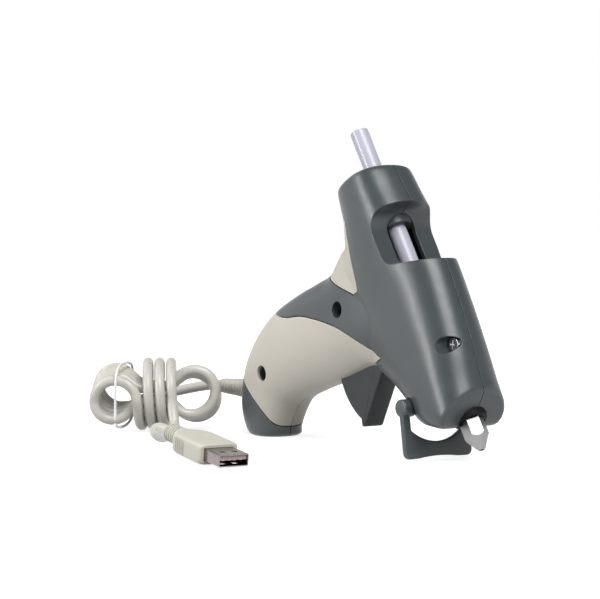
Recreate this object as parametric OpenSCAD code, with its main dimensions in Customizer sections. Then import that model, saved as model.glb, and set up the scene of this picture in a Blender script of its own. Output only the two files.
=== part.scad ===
// Small corded hot glue gun, standing nose down on its foot and its fold-out stand.
// X points forward, Y to the left, Z up. The table is at Z = 0.

/* [Glue stick and feed] */
// Diameter of the glue stick
stick_d = 7.2; // [6.8:0.1:7.6]
// Length of stick that stands out behind the barrel
stick_tail = 20; // [5:1:40]
// Angle that the trigger turns when it is squeezed
trigger_pull = 16; // [8:1:18]
// Clearance round the stick in its guides
stick_clearance = 0.35; // [0.2:0.05:0.5]

/* [Body shells] */
// Wall of the two body shells
wall = 3.2; // [2.8:0.1:3.6]
// Thickness of the pale grip and tail panels
panel_t = 1.4; // [1:0.1:1.6]
// Gap round and under each pale panel
panel_gap = 0.25; // [0.1:0.05:0.3]
// Gap along the seam between the shells
seam_gap = 0.1; // [0.05:0.05:0.3]

/* [Nozzle and heater] */
// Length of the nozzle in front of the nose
nozzle_reach = 15.3; // [12:0.1:18]
// Width of the nozzle's hexagon across its flats
nozzle_hex = 8.1; // [7.6:0.1:8.6]
// Length of the nozzle's hexagon
nozzle_hex_len = 6; // [4:0.5:7]
// Diameter of the nozzle's orifice
orifice_d = 1.6; // [1:0.1:2]
// Outer diameter of the melt chamber
chamber_d = 12; // [11:0.5:13]
// Length of the melt chamber behind the nose
chamber_len = 24; // [20:1:26]
// Outer diameter of the insulating collar round the nozzle
collar_d = 12.6; // [12:0.1:14]

/* [Trigger] */
// Thickness of the trigger's blade
trigger_w = 9; // [7:0.5:10]
// Radius of the trigger's rounded back edge about its pivot
trigger_r = 29; // [27:0.5:30]
// Diameter of the trigger's pivot pin
pivot_pin_d = 3; // [2.5:0.1:3.5]
// Diameter of the pin that drives the feed carriage
drive_pin_d = 2.4; // [2:0.1:2.8]
// Running clearance of pins in their bores, on the radius
pin_clearance = 0.05; // [0.02:0.01:0.08]

/* [Stand] */
// Thickness of the stand's plate
stand_t = 2.4; // [2:0.1:3]
// Width of each arm of the stand
stand_arm = 3.4; // [2.6:0.1:4]
// Diameter of the stand's pivot stubs
stand_stub_d = 4; // [3:0.1:4.4]

/* [Screws] */
// Shank diameter of the case screws
screw_d = 2.8; // [2.4:0.1:3]
// Head diameter of the case screws
screw_head_d = 5.2; // [4.8:0.1:5.6]
// Diameter of the sunk hole above each screw
screw_well_d = 6.4; // [6.2:0.1:7]

/* [Cord and plug] */
// Diameter of the cord
cord_d = 4.2; // [3.8:0.1:4.4]
// Diameter of the strain relief where it leaves the handle
relief_d = 8.2; // [7.5:0.1:9]
// Width of the plug's metal shell
plug_shell_w = 12; // [11.8:0.1:12.2]
// Height of the plug's metal shell
plug_shell_h = 4.5; // [4.3:0.1:4.7]
// Length of the plug's metal shell outside its grip
plug_shell_len = 11.5; // [10:0.5:13]
// Wall of the plug's metal shell
plug_shell_wall = 0.4; // [0.3:0.05:0.6]

/* [Hidden] */

$fn = 64;
dark_grey = [0.30, 0.33, 0.34];
pale_grey = [0.72, 0.70, 0.65];
cord_grey = [0.78, 0.77, 0.73];
// Clearances: round moving pieces, round fixed pieces, and in press fits
fit = 0.3;
snug = 0.1;
press = 0.02;
// How far a cut runs past the face that it opens, and a length longer than the whole object
over = 1;
big = 200;

// Barrel frame: its origin is the middle of the nose face, local Z runs back up the barrel
// and local X points out of the barrel's top.
nose_x = 64;
nose_z = 18.2;
pitch = 57.5;
back_dir = [-cos(pitch), sin(pitch)];
up_dir = [sin(pitch), cos(pitch)];

// Barrel ribs: distance behind the nose, half width, height above and depth below the stick
barrel_ribs = [
    [0, 11.4, 9.4, 10.8], [0.6, 13.2, 10.2, 14.2], [2.2, 14.2, 10.8, 18.4], [4.7, 14.6, 11.4, 20.4],
    [13.7, 14.2, 13.2, 22.9], [20, 14, 15, 25.2], [25.7, 13.8, 16.3, 27.3], [38.7, 13.6, 17.8, 34],
    [53.7, 13.4, 18.8, 35], [69.7, 14.5, 15.7, 33.7], [83.7, 14.4, 13.4, 24.8],
    [91, 14, 12.4, 20.2], [97.8, 13.6, 11.8, 18.4], [101.2, 13.2, 11.2, 17.4],
    [102, 12.3, 10.4, 16.4]
];
// Lean of the underside of the nose, the distance it fades over and the depth it turns about
nose_tilt = 0.62;
nose_tilt_end = 25.7;
nose_tilt_low = 11;
// Nose face: where it crosses the stick's line, and how far it leans back with height
face_s = -4.4;
face_lean = 0.52;
barrel_len = barrel_ribs[len(barrel_ribs) - 1][0];
// Lean of the barrel's back end: its underside reaches further back than its top
tail_tilt = 0.13;

// Handle ribs, from the foot up into the barrel: back point, front point, half width
handle_ribs = [
    [[-66.3, 0], [-49.3, 0], 8.8], [[-68.8, 1.2], [-47.5, 1.2], 10.2],
    [[-71.8, 6], [-47.3, 3.6], 10.8], [[-73.6, 12], [-45.3, 7.4], 11.3],
    [[-73.3, 18], [-42.8, 11.2], 11.8], [[-71.6, 24.8], [-39.9, 14.5], 12.3],
    [[-68.6, 32.1], [-35.3, 17], 12.8], [[-63.3, 40], [-28, 19.5], 13.1],
    [[-56.5, 47], [-19.6, 22.1], 13.2], [[-47.6, 52.9], [-10.6, 24.5], 13.2],
    [[-35.7, 58.4], [-1.8, 27], 13.2], [[-22.8, 63.3], [6.2, 29.7], 13.1],
    [[-12.3, 68], [14.2, 32], 13], [[-3.4, 79], [23.7, 31], 12.6],
    [[10.7, 84], [37.7, 37], 11.2]
];
// First handle rib that the hollow inside reaches down to
hollow_rib = 3;
rib_sides = 24;
// Exponent of the rib outlines, where 2 is an ellipse and more is boxier
fullness = 2.3;

// Sunk window on top of the barrel, in the barrel frame: its ramp leaves the barrel's top at the front
// and falls to a flat floor, which turns up into a round back wall
window_front = 54.5;
window_lip = 18.4;
window_ramp = 0.4;
window_rise = 40;
window_floor_front = 61.2;
window_floor = 2;
window_fillet = 8.2;
window_back = 82.7;
window_wall = 2;
// How much further the wall under the ramp reaches, at its top and at its foot
window_wall_top = 1.4;
window_wall_foot = 0.6;
// Slot in the window's floor that shows the stick
slot_front = 58;
slot_back = 80.9;
slot_half = 6.8;
slot_corner = 4.2;
slot_depth = 2;
slot_rise = 11;

// Edge lines of the pale grip panel on the side of the handle, as [x, z]
grip_top_edge = [
    [-62.3, 58.5], [-49.8, 51.3], [-35.8, 49.2], [-23.1, 50.2], [-7.6, 48.7],
    [3.2, 46.2], [13.7, 41.8], [27.2, 36]
];
grip_front_edge = [[18.7, 33.6], [11.7, 28], [4.7, 22], [-20.3, 17], [-36.3, 11], [-41.3, 5]];
grip_low_edge = [
    [-44.3, 4.2], [-48.3, 4.6], [-52.8, 11], [-57.8, 16], [-64.8, 21.5], [-71.3, 25], [-82.3, 29]
];
grip_back_edge = [[-86.3, 45]];
tail_edge = [
    [5.3, 88], [7.6, 82], [13.6, 65.2], [13.9, 61], [11.2, 59.2], [-6.2, 64.2], [-16.3, 68.2],
    [-26.3, 80], [-14.3, 90]
];
// Part of the body that each panel's skin is taken from
grip_first_rib = 1;
grip_to = 69.7;
tail_first_rib = 10;
tail_from = 53.7;

// Pins and screws across the body, as [x, z]
trigger_pivot = [19.2, 37];
stand_pivot = [44.2, 19];
pivot_pin_half = 6.1;
screw_places = [at_barrel(21.6, 12.2), [1.2, 53.5], [-49.4, 26]];
screw_head_y = -4.2;
screw_len = 10;
screw_head_h = 1.6;
boss_r = 3.6;
// Slot in the belly that the trigger swings in, as [x, z]
trigger_slot = [[24.7, 39], [24.7, 20], [-12.3, 20], [-12.3, 42], [13.7, 44]];
boss_wall = 1.2;
// Cross recess of a screw head: width, twice its depth, length
screw_slot = [0.7, 1.8, 3.2];

// Feed train, as distances behind the nose
trigger_arm_s = barrel_s(trigger_pivot);
trigger_arm_u = barrel_u(trigger_pivot);
drive_pin_u = -9.4;
feed_half = (drive_pin_u - trigger_arm_u) * tan(trigger_pull / 2);
drive_pin_s = trigger_arm_s + feed_half;
carriage_len = 8;
carriage_d = 12.4;
// Cheeks of the carriage that hold the drive pin
cheek_t = 1.6;
cheek_out = 4.6;
cheek_low = 2.4;
cheek_in = 1;
sleeve_len = 6;
sleeve_wall = 0.75;
sleeve_d = stick_d + 2 * stick_clearance + 2 * sleeve_wall;
spring_wire = 0.9;
spring_mean_d = 11;
spring_curls = 7;
spring_points = 8;
spring_seat = chamber_len + fit;
spring_end = drive_pin_s - carriage_len / 2 - fit;
stick_end = 14;
stick_room = 1.2;
guide_front = 78.4;
guide_wall = 2.2;
guide_d = stick_d + 2 * stick_clearance + 2 * guide_wall;
guide_recess = 1.4;
collar_depth = 4;
nozzle_stub = 5;
nozzle_funnel = 3;
nozzle_wall = 0.8;
nozzle_base = 3.8;
nozzle_tip_r = 1.3;
neck_d = 7.8;
chamber_lip_s = 1.1;
chamber_lip_d = stick_d + 2.4;
chamber_neck_d = chamber_d - 2;
bulkhead_s = chamber_len - 5;
bulkhead_t = 2.8;
bulkhead_top = 8;
// Gap in the bulkhead for the heater's leads: height, width, and where it starts
lead_gap = [9, 20];
lead_gap_u = -16;

// Stand in its own frame: the pivot is at the origin and the plate hangs down
stand_lean = 9;
stand_inner = 12.2;
stand_outer = stand_inner + stand_arm;
stand_arch_r = 19;
stand_arch_drop = 12.8;
stand_eye_r = 3.3;
stand_seat_y = 10;
stand_seat_gap = 0.5;
stand_boss_y = 4;
stand_stub_y = 6;
// The plate is drawn past the table, which cuts it, and its foot is hollowed by a wide circle
stand_drop = stand_pivot[1] + stand_arch_r;
stand_foot_r = 70;
stand_foot_rise = 0.8;

// Strain relief, along -X from the back of the handle
relief_z = 17.5;
relief_root = -66.7;
relief_flange_d = relief_d + 3;
relief_flange_t = 1.6;
relief_neck = 8;
relief_end = -97.3;
relief_ribs = 9;
// Wall and length of the relief's tip; depth of its grooves, and where each band and groove ends in a step
relief_tip_wall = 0.9;
relief_tip_len = 2;
relief_groove = 0.4;
relief_band_end = 0.6;
relief_groove_start = 0.7;
relief_groove_end = 0.95;

// Cord: the hank lies beside the strain relief, its long way turned from +X.
hank_at = [-101.6, -30.8];
hank_turn = 54;
hank_loops = 4;
hank_wraps = 3;
// Space between neighbouring turns
hank_space = 0.6;
hank_step = cord_d + hank_space;
// Left and right tips of the loops, the bends round them, and half the height of the waist
hank_tips = [-24, 25.6];
hank_bends = [8.4, 9.2];
hank_waist = 2.8;
// Loops lean from one way to the other through the hank
hank_lean = 6;
hank_arc = 22.5;
// The cord comes in behind the first loop: points before its tip, distance, points that it takes
hank_start = 4;
hank_start_out = 6.5;
hank_start_over = 9;
// Turns round the waist, and the bend that leads into them
wrap_y = 15.8;
wrap_z = 13;
wrap_bend = 9;
wrap_turn = 30;
tube_sides = 6;
cord_sides = 8;
hank_z = wrap_z + cord_d / 2 + snug;
// Cord between the strain relief and the hank
lead_in = [
    [-73.3, 0, 17.5], [-85.3, 0, 17.5], [-97.3, 0, 17.5], [-105.5, -0.9, 17.1], [-110.8, -5, 16],
    [-117.7, -11.7, 13.8], [-121.8, -19.8, 10.8], [-123.1, -25.9, 9]
];
// Cord between the hank and the plug
tail_out = [
    [-81.1, -34.1, 5.3], [-78.1, -35.7, 3.1], [-74.6, -37.6, 2.3], [-67.7, -43.3, 2.3],
    [-61.2, -49.6, 2.3], [-54.9, -56.1, 2.6], [-48.7, -62.2, 4.1], [-42.4, -67.4, 6.2],
    [-35.7, -71.2, 8.2], [-28.7, -73.1, 9.1], [-22.7, -73.7, 8.5], [-15.8, -74.3, 7.7]
];

// Plug: place of its mouth, its turn about Z, and how far its tail is tipped up
plug_at = [28.7, -78.7];
plug_turn = -5.6;
plug_tip = 6.5;
// Grip of the plug: distance behind the mouth, half width, half height
plug_ribs = [
    [11.5, 7.3, 3.3], [12.1, 7.8, 3.8], [13, 8, 4], [29, 8, 4], [34, 7.4, 3.9], [36.5, 5.2, 3.7],
    [38, 4.2, 3.8], [39.5, 3.9, 3.7], [49.6, 3.3, 3.3], [50.2, 3, 3]
];
plug_seat = 4;
plug_cord_in = 45;
// The grip is boxy up to here and round behind
plug_round_from = 36;
plug_fullness = 6;
plug_corner = 0.6;
plug_half = plug_ribs[2][1];
plug_z = plug_ribs[2][2] * cos(plug_tip) - plug_ribs[2][0] * sin(plug_tip) + snug;
// Grooves across the grip's sides and round its tail
plug_grooves = 7;
groove_from = 24;
groove_step = 1.5;
groove_w = 0.7;
groove_depth = 0.3;
tail_grooves = 5;
tail_groove_from = 41;
tail_groove_step = 1.8;
tail_groove_w = 1;
tail_core_d = 5.9;
// Square holes through the metal shell: width, length, distance from the mouth, and places
plug_hole = [2.2, 2.4];
plug_hole_s = 3;
plug_hole_y = [-3.6, 1.4];
// Tongue and its contacts
tongue_back = 0.6;
tongue_short = 2.2;
contact = [0.28, 1, 9];
contact_s = 1.4;
contact_y = [-3.5, -1, 1, 3.5];

function at_barrel(s, u) = [nose_x, nose_z] + s * back_dir + u * up_dir;
function barrel_s(p) = (p - [nose_x, nose_z]) * back_dir;
function barrel_u(p) = (p - [nose_x, nose_z]) * up_dir;

module on_barrel() {
    translate([nose_x, 0, nose_z]) rotate([0, pitch - 90, 0]) children();
}

// Smooth curve through a list of points
function curve(p, steps) = concat([
    for (i = [0:len(p) - 2], j = [0:steps - 1])
        let (t = j / steps, a = p[max(i - 1, 0)], b = p[i], c = p[i + 1],
             d = p[min(i + 2, len(p) - 1)])
        (2 * b + (c - a) * t + (2 * a - 5 * b + 4 * c - d) * t * t
            + (3 * b - a - 3 * c + d) * t * t * t) / 2
], [p[len(p) - 1]]);

// Solid skin over a row of rings, each ring turning the same way about the row
module loft(rings) {
    n = len(rings[0]);
    m = len(rings);
    first = m * n;
    last = first + 1;
    sides = [
        for (k = [0:m - 2], i = [0:n - 1])
            let (a = k * n + i, b = k * n + (i + 1) % n)
            each [[a, a + n, b], [a + n, b + n, b]]
    ];
    ends = [
        for (i = [0:n - 1])
            let (j = (i + 1) % n, back = (m - 1) * n)
            each [[i, j, first], [back + j, back + i, last]]
    ];
    middles = [middle(rings[0]), middle(rings[m - 1])];
    points = concat([for (r = rings) each r], middles);
    polyhedron(points = points, faces = concat(ends, sides), convexity = 10);
}

function total(v, i = 0) = i == len(v) - 1 ? v[i] : v[i] + total(v, i + 1);
function middle(ring) = total(ring) / len(ring);
function power(v, e) = sign(v) * pow(abs(v), e);
function column(ribs, i) = [for (r = ribs) [r[0], r[i]]];

// Distance behind the nose of a point on a rib, with the leans of the nose and of the back end
function leaned(s, u) =
    s - nose_tilt * max(0, 1 - s / nose_tilt_end) * (u + nose_tilt_low)
        - tail_tilt * max(0, (s - window_back) / (barrel_len - window_back)) * u;

function barrel_ring(s, inset) =
    let (a = lookup(s, column(barrel_ribs, 1)) - inset, up = lookup(s, column(barrel_ribs, 2)) - inset,
         down = lookup(s, column(barrel_ribs, 3)) - inset)
    [
        for (i = [0:rib_sides - 1])
            let (t = 360 * (i + 0.5) / rib_sides, u = power(cos(t), 2 / fullness) * (cos(t) > 0 ? up : down))
            [u, a * power(sin(t), 2 / fullness), leaned(s, u)]
    ];

function barrel_stations(inset, s0, s1) = concat([max(inset, s0)], [
    for (r = barrel_ribs)
        if (r[0] > max(inset, s0) + 0.5 && r[0] < min(barrel_len - inset, s1) - 0.5) r[0]
], [min(barrel_len - inset, s1)]);

function handle_ring(rib, inset) =
    let (mid = (rib[0] + rib[1]) / 2, half = norm(rib[0] - rib[1]) / 2,
         out = (rib[0] - rib[1]) / (2 * half))
    [
        for (i = [0:rib_sides - 1])
            let (t = 360 * (i + 0.5) / rib_sides, c = power(cos(t), 2 / fullness) * (half - inset),
                 y = -power(sin(t), 2 / fullness) * (rib[2] - inset))
            [mid[0] + out[0] * c, y, mid[1] + out[1] * c]
    ];

// Everything in front of the nose face, drawn in by an inset
module nose_face(inset) {
    on_barrel() translate([0, 0, face_s]) rotate([0, -atan(face_lean), 0])
        translate([-big / 2, -big / 2, inset - big]) cube(big);
}

// Body form drawn in by an inset, over a range of handle ribs and a length of the barrel
module body_form(inset, rib0 = 0, s0 = 0, s1 = barrel_len) {
    difference() {
        on_barrel() loft([for (s = barrel_stations(inset, s0, s1)) barrel_ring(s, inset)]);
        if (s0 < nose_tilt_end) nose_face(inset);
    }
    loft([for (i = [rib0:len(handle_ribs) - 1]) handle_ring(handle_ribs[i], inset)]);
}

// Prism through the whole width of the body over an [x, z] outline
module across(points, width = big) {
    rotate([90, 0, 0]) linear_extrude(width, center = true) polygon(points);
}

module pin_across(place, r, y0, y1) {
    translate([place[0], y0, place[1]]) rotate([-90, 0, 0]) cylinder(r = r, h = y1 - y0);
}

// The same on one side of the body, from the inside outwards
module side_pin(side, place, r, y_in, y_out) {
    pin_across(place, r, min(side * y_in, side * y_out), max(side * y_in, side * y_out));
}

module half_space(side) {
    translate([-big, side > 0 ? seam_gap / 2 : -big, -big]) cube([2 * big, big - seam_gap / 2, 2 * big]);
}

grip_outline = concat(curve(grip_top_edge, 4), grip_front_edge, curve(grip_low_edge, 3), grip_back_edge);

// Outline moved in by g, for an outline that runs clockwise
function drawn_in(p, g) = [
    for (i = [0:len(p) - 1])
        let (a = p[(i + len(p) - 1) % len(p)], b = p[(i + 1) % len(p)], d = (b - a) / norm(b - a))
        p[i] + g * [d[1], -d[0]]
];

// Outline of the sunk window in the barrel frame, as [height, distance], grown by g
function window_outline(g) = [
    [window_rise, window_front - (window_rise - window_lip) * window_ramp - g * window_wall_top],
    [window_floor - g, window_floor_front - g * window_wall_foot],
    for (t = [0:15:90]) [
        window_floor - g + (window_fillet + g) * (1 - cos(t)),
        window_back - window_fillet + (window_fillet + g) * sin(t)
    ],
    [window_rise, window_back + g]
];

module window_cut(g) {
    on_barrel() rotate([90, 0, 0]) linear_extrude(big, center = true) polygon(window_outline(g));
}

// Slot with round back corners, seen from above with the nose to the right
module window_slot() {
    flat = slot_half - slot_corner;
    on_barrel() translate([-slot_depth, 0, 0]) rotate([0, 90, 0]) linear_extrude(slot_depth + slot_rise) {
        for (s = [-1, 1]) translate([slot_corner - slot_back, s * flat]) circle(slot_corner);
        translate([-slot_back, -flat]) square([slot_back - slot_front, 2 * flat]);
        translate([slot_corner - slot_back, -slot_half])
            square([slot_back - slot_corner - slot_front, 2 * slot_half]);
    }
}

// Every hole and pocket that both shells have
module body_cuts() {
    on_barrel() {
        translate([0, 0, -big / 2]) cylinder(d = collar_d, h = collar_depth + big / 2);
        cylinder(d = chamber_d + 2 * fit, h = bulkhead_s);
        cylinder(d = chamber_neck_d, h = chamber_len);
        cylinder(d = stick_d + 2 * stick_room, h = guide_front);
        translate([0, 0, guide_front - fit]) cylinder(d = guide_d + snug, h = barrel_len);
    }
    window_cut(0);
    window_slot();
    across(trigger_slot, trigger_w + 2 * fit);
    translate([relief_end, 0, relief_z]) rotate([0, 90, 0])
        cylinder(d = relief_d + snug, h = relief_root - relief_end);
    translate([relief_root - relief_flange_t - snug, 0, relief_z]) rotate([0, 90, 0])
        cylinder(d = relief_flange_d + 2 * snug, h = relief_flange_t + 2 * snug);
}

// What the hollow of the body leaves standing: the window's wall, bosses and the heater's bulkhead
module body_inside() {
    window_cut(window_wall);
    for (p = screw_places) pin_across(p, screw_well_d / 2 + boss_wall, -big, big);
    for (s = [-1, 1]) {
        side_pin(s, trigger_pivot, boss_r, trigger_w / 2 + fit, big);
        side_pin(s, stand_pivot, boss_r, stand_boss_y, big);
    }
    on_barrel() difference() {
        translate([-big / 2, -big / 2, bulkhead_s]) cube([big / 2 + bulkhead_top, big, bulkhead_t]);
        translate([lead_gap_u, -lead_gap[1] / 2, bulkhead_s - over])
            cube([lead_gap[0], lead_gap[1], bulkhead_t + 2 * over]);
    }
}

module shell(side) {
    difference() {
        intersection() {
            half_space(side);
            difference() {
                body_form(0);
                difference() {
                    union() {
                        across(grip_outline);
                        across(tail_edge);
                    }
                    body_form(panel_t + panel_gap);
                }
                difference() {
                    body_form(wall, hollow_rib);
                    body_inside();
                }
            }
        }
        body_cuts();
        for (s = [-1, 1])
            side_pin(s, trigger_pivot, pivot_pin_d / 2 + press, 0, pivot_pin_half + 2 * snug);
        for (p = screw_places) {
            pin_across(p, screw_well_d / 2, -big, screw_head_y);
            pin_across(p, (screw_d + fit) / 2, screw_head_y - over, 2 * snug);
            pin_across(p, screw_d / 2 + press, 0, screw_head_y + screw_len + over);
        }
        for (s = [-1, 1]) {
            side_pin(s, stand_pivot, stand_stub_d / 2 + pin_clearance, stand_stub_y - over, big);
            side_pin(s, stand_pivot, stand_eye_r + stand_seat_gap, stand_seat_y, big);
        }
    }
}

module panel(side, outline, rib0, s0, s1) {
    intersection() {
        half_space(side);
        difference() {
            body_form(0, rib0, s0, s1);
            body_form(panel_t, rib0, s0, s1);
            body_cuts();
            if (side < 0) for (p = screw_places) pin_across(p, screw_well_d / 2, -big, big);
        }
        across(drawn_in(outline, panel_gap));
    }
}

module grip_panel(side) {
    panel(side, grip_outline, grip_first_rib, nose_tilt_end, grip_to);
}

module tail_panel(side) {
    panel(side, tail_edge, tail_first_rib, tail_from, barrel_len);
}

module right_shell() {
    color(dark_grey) shell(-1);
}

module left_shell() {
    color(dark_grey) shell(1);
}

module right_grip_panel() {
    color(pale_grey) grip_panel(-1);
}

module left_grip_panel() {
    color(pale_grey) grip_panel(1);
}

module right_tail_panel() {
    color(pale_grey) tail_panel(-1);
}

module left_tail_panel() {
    color(pale_grey) tail_panel(1);
}

module case_screws() {
    color("silver") for (p = screw_places) difference() {
        union() {
            pin_across(p, screw_head_d / 2, screw_head_y - screw_head_h, screw_head_y);
            pin_across(p, screw_d / 2, screw_head_y - snug, screw_head_y + screw_len);
        }
        for (turn = [0, 90]) translate([p[0], screw_head_y - screw_head_h, p[1]]) rotate([0, turn, 0])
            cube(screw_slot, center = true);
    }
}

module nozzle() {
    hex_r = nozzle_hex / 2 / cos(30);
    slope = (hex_r - nozzle_tip_r) / (nozzle_reach - nozzle_hex_len - nozzle_base);
    long = nozzle_reach - nozzle_base;
    color([0.85, 0.85, 0.86]) on_barrel() difference() {
        union() {
            translate([0, 0, -nozzle_reach]) intersection() {
                cylinder(r = hex_r, h = long, $fn = 6);
                cylinder(r1 = nozzle_tip_r, r2 = nozzle_tip_r + slope * long, h = long);
            }
            translate([0, 0, -nozzle_base - snug]) cylinder(d = neck_d, h = nozzle_base + over);
            cylinder(d = stick_d, h = nozzle_stub);
        }
        translate([0, 0, -nozzle_reach - over])
            cylinder(d = orifice_d, h = nozzle_reach + nozzle_stub + 2 * over);
        translate([0, 0, -nozzle_funnel])
            cylinder(d1 = orifice_d, d2 = stick_d - 2 * nozzle_wall, h = nozzle_stub + nozzle_funnel + snug);
    }
}

module nozzle_collar() {
    color([0.06, 0.06, 0.06]) on_barrel() difference() {
        translate([0, 0, 2 * snug - nozzle_base])
            cylinder(d = collar_d - snug, h = collar_depth + nozzle_base - fit);
        translate([0, 0, -nozzle_base]) cylinder(d = neck_d + snug, h = nozzle_base + chamber_lip_s);
        translate([0, 0, chamber_lip_s - snug]) cylinder(d = chamber_lip_d + 2 * snug, h = collar_depth);
    }
}

module melt_chamber() {
    body_s = collar_depth + 2 * snug;
    color("lightgray") on_barrel() difference() {
        union() {
            translate([0, 0, chamber_lip_s]) cylinder(d = chamber_lip_d, h = collar_depth);
            translate([0, 0, body_s]) cylinder(d = chamber_d, h = chamber_len - body_s);
            translate([-chamber_d / 2 - pad_h, -pad_w / 2, heater_s - pad_past])
                cube([chamber_d / 4 + pad_h, pad_w, heater_len + 2 * pad_past]);
        }
        translate([0, 0, chamber_lip_s - snug]) cylinder(d = stick_d + press, h = nozzle_stub);
        translate([0, 0, nozzle_stub]) cylinder(d = stick_d + 2 * stick_clearance, h = chamber_len);
        translate([0, 0, bulkhead_s - fit]) difference() {
            cylinder(d = chamber_d + 2 * over, h = bulkhead_t + 2 * fit);
            cylinder(d = chamber_neck_d - 2 * snug, h = bulkhead_t + 2 * fit);
        }
    }
}

// Heater on a flat pad under the chamber, held by a sprung clip
heater_s = collar_depth + 3.5;
heater_len = 10;
heater_w = 7;
heater_t = 2.1;
pad_h = 1;
pad_w = 8;
pad_past = 0.5;
clip_t = 0.6;
clip_len = 6;
clip_in_h = pad_h + heater_t + 2 * snug;
clip_in_w = pad_w + snug;

module heater_element() {
    color("ivory") on_barrel() translate([-chamber_d / 2 - pad_h - snug - heater_t, -heater_w / 2, heater_s])
        cube([heater_t, heater_w, heater_len]);
}

module heater_clip() {
    low = chamber_d / 2 + clip_in_h;
    through = clip_len + 2 * over;
    color("silver") on_barrel() translate([0, 0, heater_s + (heater_len - clip_len) / 2]) difference() {
        union() {
            cylinder(d = chamber_d + 2 * clip_t, h = clip_len);
            translate([-low - clip_t, -clip_in_w / 2 - clip_t, 0])
                cube([low + clip_t, clip_in_w + 2 * clip_t, clip_len]);
        }
        translate([0, 0, -over]) cylinder(d = chamber_d + snug, h = through);
        translate([-low, -clip_in_w / 2, -over]) cube([low, clip_in_w, through]);
        translate([-over, -chamber_d, -over]) cube([chamber_d, 2 * chamber_d, through]);
    }
}

// Tube swept along a route, with its rings square to the route
function tangent(p, i) = let (a = p[max(i - 1, 0)], b = p[min(i + 1, len(p) - 1)]) (b - a) / norm(b - a);
function frame_x(t) = let (v = abs(t[2]) < 0.9 ? cross([0, 0, 1], t) : cross([1, 0, 0], t)) v / norm(v);
function carried(x, t) = let (v = x - t * (x * t)) v / norm(v);
function frames(p, i = 0, x = undef) =
    let (t = tangent(p, i), n = x == undef ? frame_x(t) : carried(x, t))
    i == len(p) - 1 ? [n] : concat([n], frames(p, i + 1, n));

module tube(p, r, sides) {
    n = frames(p);
    loft([
        for (i = [0:len(p) - 1])
            let (t = tangent(p, i), a = n[i], b = cross(t, a))
            [for (k = [0:sides - 1]) p[i] + r * (cos(360 * k / sides) * a + sin(360 * k / sides) * b)]
    ]);
}

lead_d = 1.4;
lead_u = -chamber_d / 2 - pad_h - heater_t / 2 - 2 * snug;
function lead_at(s, y) = let (p = at_barrel(s, lead_u)) [p[0], y, p[1]];
lead_route = [
    lead_at(heater_s + heater_len + 0.6, 3), lead_at(chamber_len - 1, 5), lead_at(chamber_len + 5, 7),
    lead_at(chamber_len + 14, 7.4), [23.7, 7.4, 48], [11.7, 7.4, 48], [-6.3, 7.4, 45], [-24.3, 7, 41.5],
    [-40.3, 6, 37.5], [-52.3, 4, 31.5], [-60.3, 1.5, 22.5], [-65.3, 0.6, 18.6], [-72.3, 0.6, 18.4]
];
lead_offset = [-1, -1.2, -1.8];

module heater_leads() {
    color("white") for (side = [0, 1])
        tube([for (p = curve(lead_route, 2)) p + side * lead_offset], lead_d / 2, tube_sides);
}

module inlet_sleeve() {
    color([0.75, 0.35, 0.25]) on_barrel() translate([0, 0, chamber_len]) difference() {
        cylinder(d = sleeve_d, h = sleeve_len);
        translate([0, 0, -over]) cylinder(d = stick_d + 2 * stick_clearance, h = sleeve_len + 2 * over);
    }
}

module stick_guide() {
    color(dark_grey) on_barrel() translate([0, 0, guide_front]) difference() {
        cylinder(d = guide_d, h = barrel_len - guide_front - guide_recess);
        translate([0, 0, -over]) cylinder(d = stick_d + 2 * stick_clearance, h = barrel_len);
    }
}

module glue_stick() {
    color([0.93, 0.93, 0.97, 0.8]) on_barrel() translate([0, 0, stick_end])
        cylinder(d = stick_d, h = barrel_len + stick_tail - stick_end);
}

module feed_carriage() {
    color("white") on_barrel() translate([0, 0, drive_pin_s - carriage_len / 2]) difference() {
        union() {
            cylinder(d = carriage_d, h = carriage_len);
            for (y = [-cheek_out, cheek_out - cheek_t]) translate([drive_pin_u - cheek_low, y, cheek_in])
                cube([cheek_low - drive_pin_u - stick_d / 2, cheek_t, carriage_len - 2 * cheek_in]);
        }
        translate([0, 0, -over]) cylinder(d = stick_d, h = carriage_len + 2 * over);
        translate([drive_pin_u, -cheek_out - over, carriage_len / 2]) rotate([-90, 0, 0])
            cylinder(d = drive_pin_d, h = 2 * (cheek_out + over));
    }
}

module drive_pin() {
    color("silver") on_barrel() translate([drive_pin_u, -cheek_out, drive_pin_s])
        rotate([-90, 0, 0]) cylinder(d = drive_pin_d, h = 2 * cheek_out);
}

module feed_spring() {
    span = spring_end - spring_seat - spring_wire;
    steps = spring_points * spring_curls;
    low = spring_seat + spring_wire / 2;
    color("silver") on_barrel() tube([
        for (i = [0:steps])
            let (t = 360 * i / spring_points)
            [spring_mean_d / 2 * cos(t), spring_mean_d / 2 * sin(t), low + span * i / steps]
    ], spring_wire / 2, tube_sides);
}

// Trigger's blade: its rounded tip, and its corners from the pivot or the tip
trigger_tip = [6.9, 10.4];
trigger_tip_r = 1.8;
trigger_front = trigger_pivot + [0.6, -5];
trigger_tip_front = trigger_tip + [1.8, -0.2];
trigger_root = trigger_pivot + [-4, 1];
trigger_hub_r = 4.4;
trigger_arc = [for (t = [244:-4:196]) trigger_pivot + trigger_r * [cos(t), sin(t)]];
// Inner arm with the open slot that takes the drive pin
trigger_arm_w = 5;
trigger_arm_h = 6;
trigger_arm_past = 1.9;
trigger_fork = 2.2;

module on_trigger_arm() {
    translate([trigger_pivot[0], 0, trigger_pivot[1]])
        rotate([0, pitch - 90 - atan2(feed_half, drive_pin_u - trigger_arm_u), 0]) children();
}

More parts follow.
